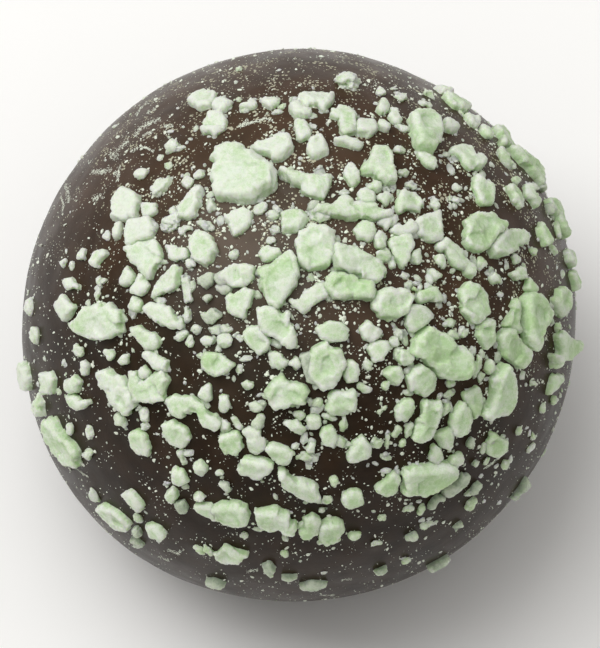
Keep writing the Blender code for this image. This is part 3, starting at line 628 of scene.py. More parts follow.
# ----------------------------------------------------------------------------------------------------
# Shared helpers
# ----------------------------------------------------------------------------------------------------


def mesh_from_arrays(name, points, faces, attributes=None):
    """A smooth mesh object in metres from points in millimetres, with an attribute for each named list."""
    mesh = bpy.data.meshes.new(name)
    mesh.from_pydata((np.asarray(points) * MM).tolist(), [], [list(face) for face in faces])
    mesh.shade_smooth()
    for attribute_name, values in (attributes or {}).items():
        attribute = mesh.attributes.new(attribute_name, "FLOAT", "POINT")
        attribute.data.foreach_set("value", np.asarray(values, np.float32))
    obj = bpy.data.objects.new(name, mesh)
    bpy.context.scene.collection.objects.link(obj)
    return obj


def points_of(mesh):
    """A mesh's points as an array, in millimetres."""
    points = np.empty(len(mesh.vertices) * 3)
    mesh.vertices.foreach_get("co", points)
    return points.reshape(-1, 3) / MM


def faces_of(mesh):
    return [tuple(face.vertices) for face in mesh.polygons]


def unit(vectors):
    return vectors / np.linalg.norm(vectors, axis=-1, keepdims=True)


SCRAMBLE_PRIMES = (374761393, 668265263, 2147483647)  # large primes that mix up a cell's three numbers
SCRAMBLE_STIR = 1274126177
SCRAMBLE_COUNT = 4096


def scrambled(cells, seed):
    """A whole number from 0 to 4095 for each whole-numbered cell, the same each time."""
    mixed = seed * SCRAMBLE_STIR
    for axis, prime in enumerate(SCRAMBLE_PRIMES):
        mixed = mixed + cells[..., axis] * prime
    mixed = (mixed ^ (mixed >> 13)) * SCRAMBLE_STIR
    return (mixed ^ (mixed >> 16)) & (SCRAMBLE_COUNT - 1)


def ripple(points, size, seed=0):
    """Smooth noise between about -1 and 1 at each point, with swells of this size."""
    place = np.asarray(points) / size
    cell = np.floor(place).astype(np.int64)
    inside = place - cell
    fade = inside * inside * inside * (inside * (inside * 6 - 15) + 10)
    total = np.zeros(len(place))
    for corner in np.ndindex(2, 2, 2):
        picked = scrambled(cell + corner, int(seed) + 1)
        turn = picked * (math.tau / SCRAMBLE_COUNT)
        rise = scrambled(cell + corner, int(seed) + 101) / (SCRAMBLE_COUNT / 2) - 1
        flat = np.sqrt(1 - rise * rise)
        away = inside - corner
        slope = away[:, 0] * np.cos(turn) * flat + away[:, 1] * np.sin(turn) * flat + away[:, 2] * rise
        share = np.where(np.array(corner), fade, 1 - fade).prod(1)
        total += slope * share
    return total * 1.6


def seen_place(points):
    """How far points lie right of and above the ball's middle seen from the front, and towards the front."""
    offset = np.asarray(points) - np.array(BALL_MIDDLE)
    return offset @ np.array(RIGHT), offset @ np.array(UP), offset @ np.array(TOWARDS)


def smooth_step(values, low, high):
    share = np.clip((values - low) / (high - low), 0, 1)
    return share * share * (3 - 2 * share)


def ride_and_name(obj, slot, *nodes):
    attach(obj, BODY)
    if nodes:
        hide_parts(*nodes)


def set_material(obj, material):
    obj.data.materials.clear()
    obj.data.materials.append(material)


# ----------------------------------------------------------------------------------------------------
# Materials
# ----------------------------------------------------------------------------------------------------


def add_node(tree, kind, **settings):
    node = tree.nodes.new(kind)
    for name, value in settings.items():
        setattr(node, name, value)
    return node


def noise_texture(tree, vector, scale, detail, roughness=0.5):
    texture = add_node(tree, "ShaderNodeTexNoise")
    texture.inputs["Scale"].default_value = scale
    texture.inputs["Detail"].default_value = detail
    texture.inputs["Roughness"].default_value = roughness
    tree.links.new(vector, texture.inputs["Vector"])
    return texture.outputs["Fac"]


def ramp(tree, factor, *stops):
    """A grey ramp between two stops, each a position and a value."""
    node = add_node(tree, "ShaderNodeValToRGB")
    for element, (position, value) in zip(node.color_ramp.elements, stops):
        element.position = position
        element.color = (value, value, value, 1)
    tree.links.new(factor, node.inputs["Fac"])
    return node.outputs["Color"]


def mix_colours(tree, factor, first, second):
    """A mix of two colours, each a socket or a value, by a factor socket."""
    node = add_node(tree, "ShaderNodeMix", data_type="RGBA")
    tree.links.new(factor, node.inputs[0])
    for socket, value in ((node.inputs[6], first), (node.inputs[7], second)):
        if isinstance(value, tuple):
            socket.default_value = value
        else:
            tree.links.new(value, socket)
    return node.outputs[2]


def arithmetic(tree, operation, first, second):
    """What the operation makes of a socket and another socket or a number."""
    node = add_node(tree, "ShaderNodeMath", operation=operation)
    tree.links.new(first, node.inputs[0])
    if isinstance(second, float):
        node.inputs[1].default_value = second
    else:
        tree.links.new(second, node.inputs[1])
    return node.outputs[0]


def opaque(colour):
    return tuple(colour) + (1.0,)


def named_attribute(tree, name):
    return add_node(tree, "ShaderNodeAttribute", attribute_name=name).outputs["Fac"]


def new_material(name):
    material = bpy.data.materials.new(name)
    material.use_nodes = True
    tree = material.node_tree
    return material, tree, tree.nodes["Principled BSDF"]


def add_bump(tree, shader, height, distance, strength):
    bump = add_node(tree, "ShaderNodeBump")
    bump.inputs["Distance"].default_value = distance
    bump.inputs["Strength"].default_value = strength
    tree.links.new(height, bump.inputs["Height"])
    tree.links.new(bump.outputs["Normal"], shader.inputs["Normal"])


def chocolate_material(settings):
    """Satin dark chocolate, paled on its upper side by bloom and by painted sheen, and by the finest powder
    round the chips and by a painted sheen patch at upper left, each as an attribute says. Noise scales are in
    swells to the metre."""
    material, tree, shader = new_material("satin_dark_chocolate")
    place = add_node(tree, "ShaderNodeTexCoord").outputs["Object"]
    dark, warm = opaque(settings.dark_colour), opaque(settings.warm_colour)
    bloom, powder = opaque(settings.bloom_and_sheen_colour), opaque(settings.powder_and_sheen_colour)
    clouds = ramp(tree, noise_texture(tree, place, 420, 6, 0.62), (0.32, 0.0), (0.72, 1.0))
    # The upper side is paled, partly by real fat bloom and partly by painted sheen where the key softbox's
    # reflection falls
    film = named_attribute(tree, "film")
    uneven = arithmetic(tree, "ADD", arithmetic(tree, "MULTIPLY", clouds, 0.3), 0.25)
    bloom_and_sheen_share = arithmetic(tree, "MULTIPLY", film, uneven)
    brown = mix_colours(tree, bloom_and_sheen_share, mix_colours(tree, clouds, dark, warm), bloom)
    # Paled by the finest powder round the chips, and by a painted sheen patch at upper left that stands in
    # for the key softbox's reflection
    powder_and_sheen_share = arithmetic(tree, "MULTIPLY", named_attribute(tree, "haze"), 0.032)
    brown = mix_colours(tree, powder_and_sheen_share, brown, powder)
    # The finest grains, dots of powder whose size follows the paling of the upper side, in patches
    cells = add_node(tree, "ShaderNodeTexVoronoi")
    cells.inputs["Scale"].default_value = 5200
    cells.inputs["Randomness"].default_value = 1.0
    tree.links.new(place, cells.inputs["Vector"])
    patch = ramp(tree, noise_texture(tree, place, 900, 3), (0.38, 0.0), (0.66, 1.0))
    reach = arithmetic(tree, "MULTIPLY", arithmetic(tree, "MULTIPLY", film, patch), 0.42)
    grain = arithmetic(tree, "LESS_THAN", cells.outputs["Distance"], reach)
    specked = mix_colours(tree, arithmetic(tree, "MULTIPLY", grain, 0.6), brown, powder)
    tree.links.new(specked, shader.inputs["Base Color"])
    # The gloss wanders a little, and powder dulls it
    worn = ramp(tree, noise_texture(tree, place, 700, 5), (0.3, 0.0), (0.75, 0.14))
    rough = arithmetic(tree, "ADD", worn, 0.3)
    rough = arithmetic(tree, "ADD", rough, arithmetic(tree, "MULTIPLY", grain, 0.4))
    tree.links.new(rough, shader.inputs["Roughness"])
    shader.inputs["IOR"].default_value = 1.45
    shader.inputs["Specular IOR Level"].default_value = 0.18
    add_bump(tree, shader, noise_texture(tree, place, 3400, 5, 0.6), 0.03 * MM, 0.35)
    return material


def mint_material(settings, name, green_share, greyed=False):
    """Chalky mint: green inside a break, deeper by the share given, frosted pale on worn edges and where
    powder has settled, and paled by painted light on upward tops and on chips at upper left."""
    material, tree, shader = new_material(name)
    place = add_node(tree, "ShaderNodeTexCoord").outputs["Object"]
    green = opaque(settings.husk_colour if greyed else settings.break_colour)
    deep = opaque(settings.husk_deep_colour if greyed else settings.deep_colour)
    pale = opaque(settings.husk_frost_and_light_colour if greyed else settings.frost_and_light_colour)
    mottle = ramp(tree, noise_texture(tree, place, 1100, 3), (0.36, 0.0), (0.66, 1.0))
    inside = mix_colours(tree, arithmetic(tree, "MULTIPLY", mottle, green_share), green, deep)
    cloud = ramp(tree, noise_texture(tree, place, 3000, 5, 0.95), (0.38, 0.0), (0.62, 0.8))
    # The chip's frost, which carries painted light too, broken up by clouds
    worn = arithmetic(tree, "ADD", named_attribute(tree, "frost"), arithmetic(tree, "SUBTRACT", cloud, 0.30))
    frost_and_light_clamp = add_node(tree, "ShaderNodeClamp")
    tree.links.new(worn, frost_and_light_clamp.inputs["Value"])
    colour = mix_colours(tree, frost_and_light_clamp.outputs["Result"], inside, pale)
    # Small pits show the deeper green
    pits = ramp(tree, noise_texture(tree, place, 7000, 4, 0.8), (0.36, 0.25), (0.48, 0.0))
    tree.links.new(mix_colours(tree, pits, colour, deep), shader.inputs["Base Color"])
    shader.inputs["Roughness"].default_value = 0.62
    shader.inputs["Specular IOR Level"].default_value = 0.35
    shader.inputs["Subsurface Weight"].default_value = 0.6
    shader.inputs["Subsurface Radius"].default_value = (0.8, 1.0, 0.6)
    shader.inputs["Subsurface Scale"].default_value = 0.7 * MM
    add_bump(tree, shader, noise_texture(tree, place, 5200, 5, 0.8), 0.14 * MM, 0.7)
    return material


def dust_material(settings):
    """Mint dust: near white, barely green, and rough."""
    material, tree, shader = new_material("mint_dust")
    place = add_node(tree, "ShaderNodeTexCoord").outputs["Object"]
    pale, grey = opaque(settings.frost_and_light_colour), opaque(settings.dust_colour)
    mottle = ramp(tree, noise_texture(tree, place, 2400, 2), (0.35, 0.0), (0.65, 1.0))
    tree.links.new(mix_colours(tree, mottle, pale, grey), shader.inputs["Base Color"])
    shader.inputs["Roughness"].default_value = 0.8
    shader.inputs["Specular IOR Level"].default_value = 0.2
    return material


# ----------------------------------------------------------------------------------------------------
# The coat
# ----------------------------------------------------------------------------------------------------


def ball_profile(steps):
    """(radius, height) points from the crown down the ball, round the foot's edge and in to the axis."""
    last_angle = math.acos((FOOT_TOP - BALL_MIDDLE.z) / BALL_RADIUS)
    points = []
    for step in range(steps + 1):
        angle = last_angle * step / steps
        points.append((BALL_RADIUS * math.sin(angle), BALL_MIDDLE.z + BALL_RADIUS * math.cos(angle)))
    for degrees in range(30, -91, -15):  # the foot's rounded edge
        angle = math.radians(degrees)
        radius = FOOT_RADIUS - FOOT_ROUND + FOOT_ROUND * math.cos(angle)
        points.append((radius, FOOT_ROUND + FOOT_ROUND * math.sin(angle)))
    for share in (0.8, 0.6, 0.4, 0.2, 0.0):  # the flat underside, in to the axis
        points.append(((FOOT_RADIUS - FOOT_ROUND) * share, 0.0))
    return points


def turned_mesh(profile, columns):
    """Points and faces of the profile turned about Z, with one point at each end on the axis."""
    angles = np.linspace(0, math.tau, columns, endpoint=False)
    rings = np.array(profile[1:-1])
    points = [(0, 0, profile[0][1])]
    for radius, height in rings:
        points += list(zip(radius * np.cos(angles), radius * np.sin(angles), [height] * columns))
    points.append((0, 0, profile[-1][1]))
    faces = []
    for column in range(columns):
        after = (column + 1) % columns
        faces.append((0, 1 + column, 1 + after))
        for ring in range(len(rings) - 1):
            upper = 1 + ring * columns
            lower = upper + columns
            faces.append((upper + column, lower + column, lower + after, upper + after))
        last = 1 + (len(rings) - 1) * columns
        faces.append((last + column, len(points) - 1, last + after))
    return np.array(points), faces


def swollen(points):
    """The points moved as hand rolling left the solid, each one's way out, and its share of the movement."""
    share = np.clip((points[:, 2] - FOOT_TOP) / BALL_RADIUS * 2, 0, 1)
    outward = unit(points - np.array(BALL_MIDDLE))
    rise = DIMPLE_DEPTH * np.array([noise.noise(Vector(point) / DIMPLE_SIZE) for point in points])
    for bearing, elevation, spread, height in SWELLS:
        flat = math.cos(elevation)
        middle = np.array((flat * math.cos(bearing), flat * math.sin(bearing), math.sin(elevation)))
        angle = np.arccos(np.clip(outward @ middle, -1, 1))
        rise += height * np.exp(-((angle / spread) ** 2))
    return points + outward * (rise * share)[:, None], outward, share


def chip_nodes():
    return sorted(name for name in frame["nodes"] if name.startswith(CHIP_NODE_START))


def chip_middles():
    """The middle of each large, small and middling chip, with its rough radius, in millimetres."""
    middles = []
    for name in chip_nodes():
        low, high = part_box(name)
        middles.append((*((low + high) / 2 / MM), (high - low).length / MM / DIAGONAL_TO_RADIUS))
    for chip in SMALL_CHIPS:
        outward = outward_of(chip.right, chip.up)
        middles.append((*(BALL_MIDDLE + outward * BALL_RADIUS), chip.length / LENGTH_TO_RADIUS))
    for numbers in SMALL_OUTLINES:
        corners = np.array(numbers).reshape(-1, 2)
        outward = outward_of(*corners.mean(0))
        middles.append((*(BALL_MIDDLE + outward * BALL_RADIUS), math.sqrt(area_of(corners)) / 2))
    return np.array(middles)


def chip_closeness(points, reach):
    """1 at a chip's edge and inside it, falling to 0 at this reach outside it."""
    gap = np.full(len(points), np.inf)
    for x, y, z, radius in chip_middles():
        gap = np.minimum(gap, np.linalg.norm(points - np.array((x, y, z)), axis=1) - radius)
    return np.clip(1 - gap / reach, 0, 1)


def sprinkle_attributes(points):
    """How thickly crumbs, grit and dust lie at each point, most on top and in drifts round the chips, and how
    far the coat is paled there: on its upper side by bloom and painted sheen, and by the finest powder round
    the chips and by a painted sheen patch at upper left."""
    right, up, towards = seen_place(points)
    height = (points[:, 2] - BALL_MIDDLE.z) / BALL_RADIUS
    near = chip_closeness(points, DRIFT_REACH)
    drifts = np.clip(0.5 + 1.1 * ripple(points, DRIFT_SIZE, 5), 0.05, 1.3)
    patches = np.clip(0.5 + 1.2 * ripple(points, PATCH_SIZE, 9), 0.05, 1.4)
    # More fell on what faces up and forward, and more of the small broken mint lies to the upper right
    fallen = np.clip(towards / BALL_RADIUS, 0.35, 1) ** 1.25 * smooth_step(height, -0.8, 0.05)
    busy = smooth_step(up + 0.9 * right, -9.0, 6.0)
    crumbs = fallen * (0.10 + 0.90 * near) * drifts * (0.35 + 0.65 * busy)
    grit = fallen * (0.30 + 0.70 * near) * patches * (0.45 + 0.55 * busy)
    dust = np.maximum(fallen, 0.45 * smooth_step(height, -0.7, -0.1)) * patches
    # Paling of the upper side as seen from the front: partly fat bloom, partly painted sheen
    film = smooth_step(up + 0.3 * right, -5.0, 5.0) * smooth_step(height, 0.0, 0.6)
    # Powder round the chips, and a painted sheen patch at upper left that stands in for the key softbox's
    # reflection
    beside, above = (right - SHEEN_PATCH_MIDDLE[0]) / SHEEN_PATCH_SPREAD[0], (up - SHEEN_PATCH_MIDDLE[1]) / SHEEN_PATCH_SPREAD[1]
    haze = 0.3 * near + 1.1 * np.exp(-(beside**2) - (above**2)) * smooth_step(towards, 0.0, 6.0)
    return {"crumbs": crumbs, "grit": grit, "dust": dust, "film": film, "haze": haze}


def coat_relief(points, outward, share):
    """The low waves that dipping and rolling leave, the ridge round each chip, and the slightly flat side."""
    waves = WAVES[0] * ripple(points, WAVES[1], 2) + FINE_WAVES[0] * ripple(points, FINE_WAVES[1], 3)
    ridge = RIDGE_HEIGHT * chip_closeness(points, RIDGE_REACH)
    far = np.arccos(np.clip(outward @ np.array(FLAT_SIDE), -1, 1))
    return (waves + ridge - FLAT_DEPTH * np.exp(-((far / FLAT_SPREAD) ** 2))) * share


def make_coat(settings):
    points, faces = turned_mesh(ball_profile(settings.rings), settings.columns)
    points, outward, share = swollen(points)
    points = points + outward * coat_relief(points, outward, share)[:, None]
    coat = mesh_from_arrays("chocolate_coat", points, faces, sprinkle_attributes(points))
    set_material(coat, chocolate_material(settings))
    ride_and_name(coat, COAT_SLOT, BALL_NODE)


# ----------------------------------------------------------------------------------------------------
# Chips
# ----------------------------------------------------------------------------------------------------


def normals_of(points, faces):
    """Each point's outward direction. The faces all have three corners, or all four."""
    corners = points[faces]
    if faces.shape[1] == 4:
        across = np.cross(corners[:, 2] - corners[:, 0], corners[:, 3] - corners[:, 1])
    else:
        across = np.cross(corners[:, 1] - corners[:, 0], corners[:, 2] - corners[:, 0])
    normals = np.zeros(points.shape)
    for column in range(faces.shape[1]):
        np.add.at(normals, faces[:, column], across)
    return unit(normals + 1e-12)


def neighbour_count(starts, ends, total):
    """How many edge ends meet at each of the points, and at least 1."""
    return np.maximum(np.bincount(starts, minlength=total) + np.bincount(ends, minlength=total), 1)


def bulge_of(points, faces, normals):
    """How far each point stands out from its neighbours: above 0 on an edge, below 0 in a crease."""
    starts = faces.ravel()
    ends = np.roll(faces, -1, axis=1).ravel()
    count = neighbour_count(starts, ends, len(points))
    across = unit(points[starts] - points[ends] + 1e-9)
    bulge = np.zeros(len(points))
    np.add.at(bulge, starts, (across * normals[starts]).sum(1))
    np.add.at(bulge, ends, -(across * normals[ends]).sum(1))
    return smoothed(bulge / count, faces, 2)


def nearest_seeds(points, spacing, rng):
    """Indexes of points picked about this far apart, and for every point which of them is nearest."""
    order = rng.permutation(len(points))
    cells = np.floor(points[order] / spacing + rng.uniform(0, 1, 3)).astype(int)
    _, first = np.unique(cells, axis=0, return_index=True)
    seeds = order[first]
    gaps = np.linalg.norm(points[:, None] - points[seeds][None], axis=2)
    return seeds, gaps.argmin(1)


def smoothed(values, faces, times):
    """Values at points, each drawn halfway to the mean of its neighbours this many times."""
    starts = faces.ravel()
    ends = np.roll(faces, -1, axis=1).ravel()
    count = neighbour_count(starts, ends, len(values)).reshape((-1,) + (1,) * (values.ndim - 1))
    for _ in range(times):
        near = np.zeros(values.shape)
        np.add.at(near, starts, values[ends])
        np.add.at(near, ends, values[starts])
        values = (values + near / count) / 2
    return values


def faceted(points, faces, facet, rng):
    """The skin broken into flat facets, each leaning its own way, and a random share for each facet."""
    normals = normals_of(points, faces)
    seeds, nearest = nearest_seeds(points, facet.spacing, rng)
    leaning = unit(normals[seeds] + facet.lean * rng.normal(0, 1, (len(seeds), 3)))
    touching = points[seeds] + normals[seeds] * rng.uniform(-facet.depth, facet.depth, (len(seeds), 1))
    slope = np.maximum((normals * leaning[nearest]).sum(1), 0.4)
    travel = ((touching[nearest] - points) * leaning[nearest]).sum(1) / slope
    travel = smoothed(np.clip(travel, -facet.limit, facet.limit), faces, 1)
    return points + normals * travel[:, None], rng.uniform(0, 1, len(seeds))[nearest]


def notched(points, faces, outward, notches, rng):
    """A chip whose sides are broken into notches and points that run straight down them, depth by width."""
    normals = normals_of(points, faces)
    sideways = normals - outward * (normals @ outward)[:, None]
    flat = points - outward * (points @ outward)[:, None]
    seed = rng.integers(0, 90)
    notch = 0.0
    for depth, width in notches:
        notch = notch + depth * ripple(flat + seed, width, seed)
        seed += 1
    return points + sideways * notch[:, None]


def broken(points, faces, facets, notches, rng, settings, worn=0.0):
    """The chip's points with its skin broken and its edges crumbled, and how pale each point is, by frost and
    by painted light.
    Its top faces +Z."""
    outward = np.array((0.0, 0.0, 1.0))
    points = notched(points, faces, outward, notches, rng)
    shares = []
    for facet in facets:
        points, share = faceted(points, faces, facet, rng)
        shares.append(smoothed(share, faces, 3))
    normals = normals_of(points, faces)
    edge = np.clip(bulge_of(points, faces, normals) * 6, 0, 1)
    seed = rng.integers(0, 90)
    # Low swells all over, finer ones that grow on the edges, and crumbs of two sizes, most on the edges
    uneven = 0.025 * ripple(points, 1.0, seed + 3) + (0.008 + 0.03 * edge) * ripple(points, 0.36, seed + 5)
    crumbled = (0.12 + edge) * (ripple(points, 0.19, seed + 9) + 0.6 * ripple(points, 0.11, seed + 11))
    points = points + normals * (uneven + settings.skin_depth * crumbled)[:, None]
    normals = normals_of(points, faces)
    bulge = bulge_of(points, faces, normals)
    # Frost lies on edges, in patches, and differs from facet to facet; level tops are paler, by settled
    # powder and by painted light from above; worn adds the caller's share, which holds painted light too
    patches = ripple(points, 1.3, seed + 30) + 0.5 * ripple(points, 0.6, seed + 31)
    level = smooth_step(normals @ outward, 0.1, 0.9)
    frost = 0.15 + 0.30 * level + 1.2 * bulge + 0.25 * (shares[0] - 0.5) + 0.45 * patches + worn
    return points, smoothed(np.clip(frost + rng.uniform(-0.18, 0.18), 0, 1), faces, 2)


class Heap:
    """Points, faces and paleness, by frost and by painted light, of many chips, gathered for one piece."""

    def __init__(self):
        self.points, self.faces, self.frost, self.count = [], [], [], 0

    def add(self, points, faces, frost):
        self.points.append(points)
        self.faces.append(faces + self.count)
        self.frost.append(frost)
        self.count += len(points)

    def piece(self, name, material, *nodes):
        attributes = {"frost": np.concatenate(self.frost)}
        piece = mesh_from_arrays(name, np.vstack(self.points), np.vstack(self.faces).tolist(), attributes)
        set_material(piece, material)
        ride_and_name(piece, MINT_SLOT, *nodes)


def remeshed(points, faces, voxel):
    """The shape skinned again in cells of this size. Its meshes are in millimetres, as its points are."""
    mesh = bpy.data.meshes.new("remesh")
    mesh.from_pydata(points.tolist(), [], faces)
    obj = bpy.data.objects.new("remesh", mesh)
    bpy.context.scene.collection.objects.link(obj)
    remesh = obj.modifiers.new("Skin", "REMESH")
    remesh.mode = "VOXEL"
    remesh.voxel_size = voxel
    graph = bpy.context.evaluated_depsgraph_get()
    skinned = bpy.data.meshes.new_from_object(obj.evaluated_get(graph))
    result = points_of(skinned) * MM, np.array(faces_of(skinned))
    bpy.data.objects.remove(obj)
    bpy.data.meshes.remove(mesh)
    bpy.data.meshes.remove(skinned)
    return result


def gap_to_edge(points, corners):
    """How far points in the outline's plane lie from its edge."""
    gap = np.full(len(points), np.inf)
    for start, end in zip(corners, np.roll(corners, -1, axis=0)):
        along = end - start
        share = np.clip((points - start) @ along / (along @ along), 0, 1)
        gap = np.minimum(gap, np.linalg.norm(points - start - share[:, None] * along, axis=1))
    return gap


def area_of(corners):
    x, y = corners.T
    return abs(x @ np.roll(y, -1) - y @ np.roll(x, -1)) / 2


def seat_of(tree, corners, height):
    """Where an outline seen from the front sits on the coat: its foot, axes, and corners in its own plane.

    The first axis runs out from the front view's middle, the second round it and the third off the coat.
    Towards the rim more of the outline is the chip's side, so its plane is stretched by less than the slant
    alone asks.
    """
    middle = corners.mean(0)
    reach = max(np.linalg.norm(middle), 0.01)
    heading = middle / reach
    slant = min(reach / (BALL_RADIUS + height / 2), STEEPEST)
    facing = math.sqrt(1 - slant * slant)
    right, up, towards = np.array(RIGHT), np.array(UP), np.array(TOWARDS)
    outside = right * heading[0] + up * heading[1]
    normal = outside * slant + towards * facing
    axes = np.array((outside * facing - towards * slant, up * heading[0] - right * heading[1], normal))
    spot = tree.ray_cast(BALL_MIDDLE + Vector(normal) * 2 * BALL_RADIUS, -Vector(normal))[0]
    out = (corners - middle) @ heading
    span = np.ptp(out)
    stretch = np.clip((span - 0.8 * height * slant) / (span * facing), 0.6, 1.7)
    round_it = (corners - middle) @ np.array((-heading[1], heading[0]))
    return np.array(spot), axes, np.column_stack((out * stretch, round_it))


def slab(corners, height, cell):
    """Points and faces of a block with this outline, its foot sunk, skinned in cells of this size."""
    count = len(corners)
    ring = np.arange(count)
    after = np.roll(ring, -1)
    points = np.vstack([np.column_stack((corners, np.full(count, level))) for level in (-FOOT_SUNK, height)])
    faces = [tuple(ring[::-1]), tuple(ring + count)] + list(zip(ring, after, after + count, ring + count))
    return remeshed(points, [tuple(int(index) for index in face) for face in faces], cell)


def painted_light_paling(right, up):
    """Painted light: how much paler chips are drawn here than most, palest towards the key light at upper
    left, greenest in shade at lower right.
    """
    return min(max(0.022 * (up - right) - 0.03, -0.3), 0.3)


def add_outlined(heap, tree, numbers, seed, settings, cell):
    """One chip with an outline, its top rolled over at the edge and leaning, its skin broken."""
    rng = np.random.default_rng(seed)
    seen = np.array(numbers).reshape(-1, 2)
    size = math.sqrt(area_of(seen))
    seen = seen.mean(0) + (seen - seen.mean(0)) * (1 - 0.06 / size)
    lowest, highest = OUTLINED_HEIGHTS
    height = min(max(settings.thickness * size * rng.uniform(0.8, 1.2), lowest), highest)
    spot, axes, corners = seat_of(tree, seen, height)
    points, faces = slab(corners, height, cell)
    points = smoothed(points, faces, 1)
    # The top rolls over at its edge and leans, with a low rim of its own height, and dents
    gap = gap_to_edge(points[:, :2], corners)
    rolled = np.sqrt(1 - (1 - np.clip(gap / min(0.4 * height, 0.2 * size), 0, 1)) ** 2)
    lean = points[:, :2] @ rng.normal(0, 0.16, 2) / size
    rim = 0.07 * np.exp(-(((gap - 0.22) / 0.14) ** 2)) * rng.uniform(0, 1)
    dents = 0.07 * ripple(points, 0.9, seed) * np.clip(gap / 0.3, 0, 1)
    rise = 0.58 + 0.42 * rolled + lean + rim + dents
    points[:, 2] = np.where(points[:, 2] > 0, points[:, 2] * rise, points[:, 2])
    # Worn pale edges on the top, and painted light by the chip's place
    worn = 0.35 * np.exp(-((gap / 0.15) ** 2)) * (points[:, 2] > 0.5 * height) + painted_light_paling(*seen.mean(0))
    points, frost = broken(points, faces, LARGE_FACETS, LARGE_NOTCHES, rng, settings, worn)
    heap.add(spot + points @ axes, faces, frost)


def make_large_chips(settings, mint):
    """One joined piece for each kind of large chip, in place of that kind's solids."""
    tree = coat_tree()
    for kind in sorted({name.split("_")[1] for name in chip_nodes()}):
        names = [name for name in chip_nodes() if name.split("_")[1] == kind]
        heap = Heap()
        for name in names:
            number = int(name[-2:])
            add_outlined(heap, tree, LARGE_OUTLINES[number], number, settings, settings.voxel)
        heap.piece(f"large_{kind}s", mint, *names)


def make_middling(settings, mint, husk):
    """The middling chips, and the greyer lumps, each as one joined piece."""
    tree = coat_tree()
    cell = SMALL_OUTLINE_CELL * settings.voxel
    for name, outlines, material in (
        ("middling_chips", SMALL_OUTLINES, mint),
        ("mint_husks", HUSK_OUTLINES, husk),
    ):
        heap = Heap()
        for seed, numbers in enumerate(outlines, SMALL_OUTLINE_SEED):
            add_outlined(heap, tree, numbers, seed, settings, cell)
        heap.piece(name, material)


def sphere_directions(level):
    """Points and faces of an evenly divided sphere of radius 1, or of an eight-sided one at level 0."""
    if level == 0:
        faces = []
        for x, y, z in itertools.product((0, 3), (1, 4), (2, 5)):
            mirrored = (x // 3 + y // 4 + z // 5) % 2
            faces.append((x, z, y) if mirrored else (x, y, z))
        return np.vstack((np.eye(3), -np.eye(3))), np.array(faces)
    shape = bmesh.new()
    bmesh.ops.create_icosphere(shape, subdivisions=level, radius=1)
    points = np.array([vertex.co for vertex in shape.verts])
    faces = np.array([tuple(vertex.index for vertex in face.verts) for face in shape.faces])
    shape.free()
    return points, faces


def lump(directions, kind, rng, sharpness=14):
    """A broken lump in a cube from -1 to 1: the room inside planes set round its side, over it and across its
    corners, with its edges as sharp as asked."""
    top = (rng.uniform(-0.2, 0.2), rng.uniform(-0.2, 0.2), 1)
    planes = [((0, 0, -1), 0.9), (top, 0.75 + 0.2 * kind.flatness)]
    start = rng.uniform(0, math.tau)
    for corner in range(kind.corners):
        angle = start + math.tau * (corner + rng.uniform(-0.2, 0.2)) / kind.corners
        c, s = math.cos(angle), math.sin(angle)
        reach = (abs(c) ** kind.squareness + abs(s) ** kind.squareness) ** (-1 / kind.squareness)
        planes.append(((c, s, rng.uniform(-0.25, 0.35)), reach * rng.uniform(0.72, 0.98)))
    for _ in range(4):
        angle = rng.uniform(0, math.tau)
        planes.append(((math.cos(angle), math.sin(angle), rng.uniform(0.5, 1.4)), rng.uniform(0.8, 1.0)))
    total = np.zeros(len(directions))
    for normal, reach in planes:
        facing = directions @ unit(np.array(normal, float))
        total += np.maximum(facing / reach, 0) ** sharpness
    points = directions * (total ** (-1 / sharpness))[:, None]
    seed = rng.integers(0, 90)
    rough = kind.ragged * (ripple(points, 0.5, seed) + 0.5 * ripple(points, 0.24, seed + 3))
    points = points * (1 + rough)[:, None]
    return points / np.abs(points).max(0)


def outward_of(right, up, rise=0.0):
    """The way out from the ball's middle to a place seen from the front, this far above the coat."""
    across = RIGHT * right + UP * up
    depth = math.sqrt(max((BALL_RADIUS + rise) ** 2 - across.length_squared, 0))
    return (across + TOWARDS * depth).normalized()


def landing(tree, outward, turn):
    """Foot and axes of something laid on the coat, the first axis along its length."""
    spot, normal, _, _ = tree.ray_cast(BALL_MIDDLE + outward * 2 * BALL_RADIUS, -outward)
    along = (RIGHT - normal * RIGHT.dot(normal)).normalized()
    along = Matrix.Rotation(math.radians(turn), 3, normal) @ along
    return np.array(spot), np.array((along, normal.cross(along), normal))


def coat_tree():
    """A tree of the finished coat's faces, in millimetres."""
    mesh = bpy.data.objects["chocolate_coat"].data
    return BVHTree.FromPolygons(points_of(mesh).tolist(), faces_of(mesh))


def far_chips(settings):
    """Kind, way out, length, width and turn of the chips on the far side, spread along a golden spiral."""
    rng = random.Random(settings.far_seed)
    for number in range(settings.far_spiral):
        rise = 1 - 2 * (number + 0.5) / settings.far_spiral
        bearing = number * math.pi * (3 - math.sqrt(5)) + rng.uniform(-0.3, 0.3)
        flat = math.sqrt(1 - rise * rise)
        rise += rng.uniform(-0.08, 0.08)
        outward = Vector((flat * math.cos(bearing), flat * math.sin(bearing), rise)).normalized()
        length = 0.6 + 1.7 * rng.random() ** 1.7
        kind = rng.choice(sorted(KINDS))
        chip = (kind, outward, length, length * rng.uniform(0.55, 0.9), rng.uniform(0, 360))
        wanted = rng.random() < 0.25 + 0.75 * smooth_step(outward.z, -0.6, 0.3)
        if wanted and outward.z > FAR_LOWEST and outward.dot(TOWARDS) < FAR_FACING:
            yield chip


